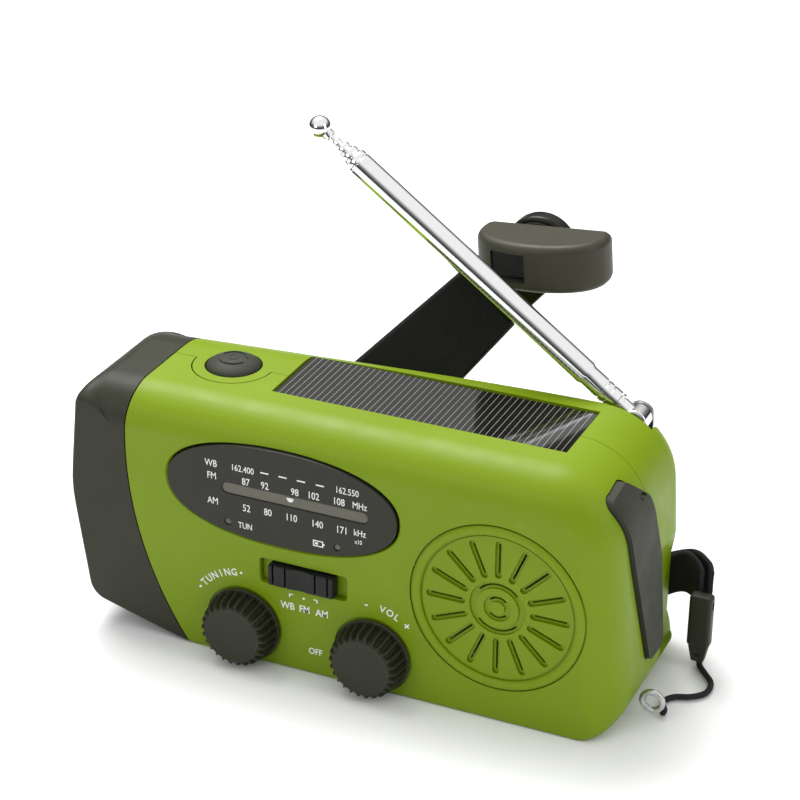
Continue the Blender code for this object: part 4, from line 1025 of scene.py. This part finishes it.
def wrist_band():
    """The woven band standing on its edge, with thicker hems and ribs that alternate between columns."""
    count, columns = 700, 20
    points = smooth_route(WEBBING_ROUTE, count)
    rings, travelled = [], 0.0
    for i, point in enumerate(points):
        if i:
            travelled += (point - points[i - 1]).length
        along = points[min(i + 1, count - 1)] - points[max(i - 1, 0)]
        across = Vector((along.y, -along.x, 0)).normalized()
        ring = []
        for side in (-1, 1):
            for k in range(columns + 1):
                v = (k / columns * 2 - 1) * (1 if side < 0 else -1)
                edge = max(0.0, abs(v) - 0.8) / 0.2
                rib = 0.5 + 0.5 * math.sin(2 * math.pi * (travelled / MM / WEAVE_PITCH + (k % 2) * 0.5))
                thick = 0.50 - 0.09 * rib * (1 - edge) + 0.05 * (0.75 < abs(v) < 0.93)
                thick *= math.sqrt(max(0.05, 1 - max(0.0, (abs(v) - 0.93) / 0.07) ** 2 * 0.95))
                ring.append(point + across * side * thick * MM + at(0, 0, BAND_HALF * v))
        rings.append(ring)
    band = show(loft(rings), "wrist_band", "webbing", "case", "strap_webbing", flat=False, angle=80)


def clasp_and_cord():
    """The clasp, the thin cord that leads from it and the eyelet at the case."""
    clasp = soften(box(at(67.8, 13.2, 6.2), at(73.0, 16.4, 19.0)), 0.9)
    lower = soften(loft([[at(68.1, 13.5, 6.8), at(72.7, 13.5, 6.8), at(72.7, 16.1, 6.8),
                          at(68.1, 16.1, 6.8)],
                         [at(69.0, 13.8, 2.2), at(71.8, 13.8, 2.2), at(71.8, 15.8, 2.2),
                          at(69.0, 15.8, 2.2)]]), 0.4)
    join(clasp, lower)
    cut(clasp, rod(at(70.4, 10, 4.4), at(70.4, 20, 4.4), 0.75, sides=24),
        box(at(66, 14.2, 15.6), at(75, 15.4, 17.6)))
    clasp = show(clasp, "band_clasp", "charcoal", "case", "strap_clasp")

    route = smooth_route(CORD_ROUTE, 30)
    curve = bpy.data.curves.new("tie_cord", "CURVE")
    curve.dimensions = "3D"
    curve.bevel_depth = 0.65 * MM
    curve.bevel_resolution = 6
    curve.use_fill_caps = True
    line = curve.splines.new("POLY")
    line.points.add(len(route) - 1)
    for point, place in zip(line.points, route):
        point.co = (*place, 1)
    curve.materials.append(LOOKS["webbing"])
    tie = bpy.data.objects.new("tie_cord", curve)
    SCENE.collection.objects.link(tie)
    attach(tie, "case")
    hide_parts("strap_cord")

    ring = []
    centre = at(67.9, -9.0, 5.2)
    for k in range(64):
        t = 2 * math.pi * k / 64
        out = Vector((math.cos(t), 0, math.sin(t)))
        ring.append([centre + (out * (2.2 + 0.7 * math.cos(a)) + Vector((0, 0.7 * math.sin(a), 0))) * MM
                     for a in (2 * math.pi * m / 16 for m in range(16))])
    show(loft(ring, round_trip=True), "strap_ring", "steel", "case", "strap_eyelet", flat=False)


# ---- stage and carried-over CAD nodes ----

def stage():
    floor = shape(lambda work: bmesh.ops.create_grid(work, x_segments=1, y_segments=1, size=3))
    SCRATCH.objects.unlink(floor)
    SCENE.collection.objects.link(floor)
    floor.name = "floor"
    floor.location.z = CAD_LOW[2] - 0.00005
    pale = bpy.data.materials.new("pale_floor")
    pale.use_nodes = True
    shader = pale.node_tree.nodes["Principled BSDF"]
    shader.inputs["Base Color"].default_value = (0.86, 0.86, 0.86, 1)
    shader.inputs["Roughness"].default_value = 0.7
    floor.data.materials.append(pale)


def dress():
    """Give every CAD node that still shows the finish of its material slot."""
    parts = {}
    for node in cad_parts.values():
        for place in node.material_slots:
            if place.material:
                parts.setdefault(place.material.name.split(".")[0], []).append(place)
    for label, places in parts.items():
        for key, look in LOOKS.items():
            if key in label or label in look.name:
                for place in places:
                    place.material = look


stage()
front_shell()
rear_shell()
torch_cap()
torch()
dial()
dial_lettering()
front_lettering()
knob("tuning_wheel", "tuning_knob", "tuning")
knob("volume_wheel", "volume_knob", "volume")
slider()
crank()
antenna()
flap()
covers()
wrist_band()
clasp_and_cord()
dress()
bpy.data.collections.remove(SCRATCH)
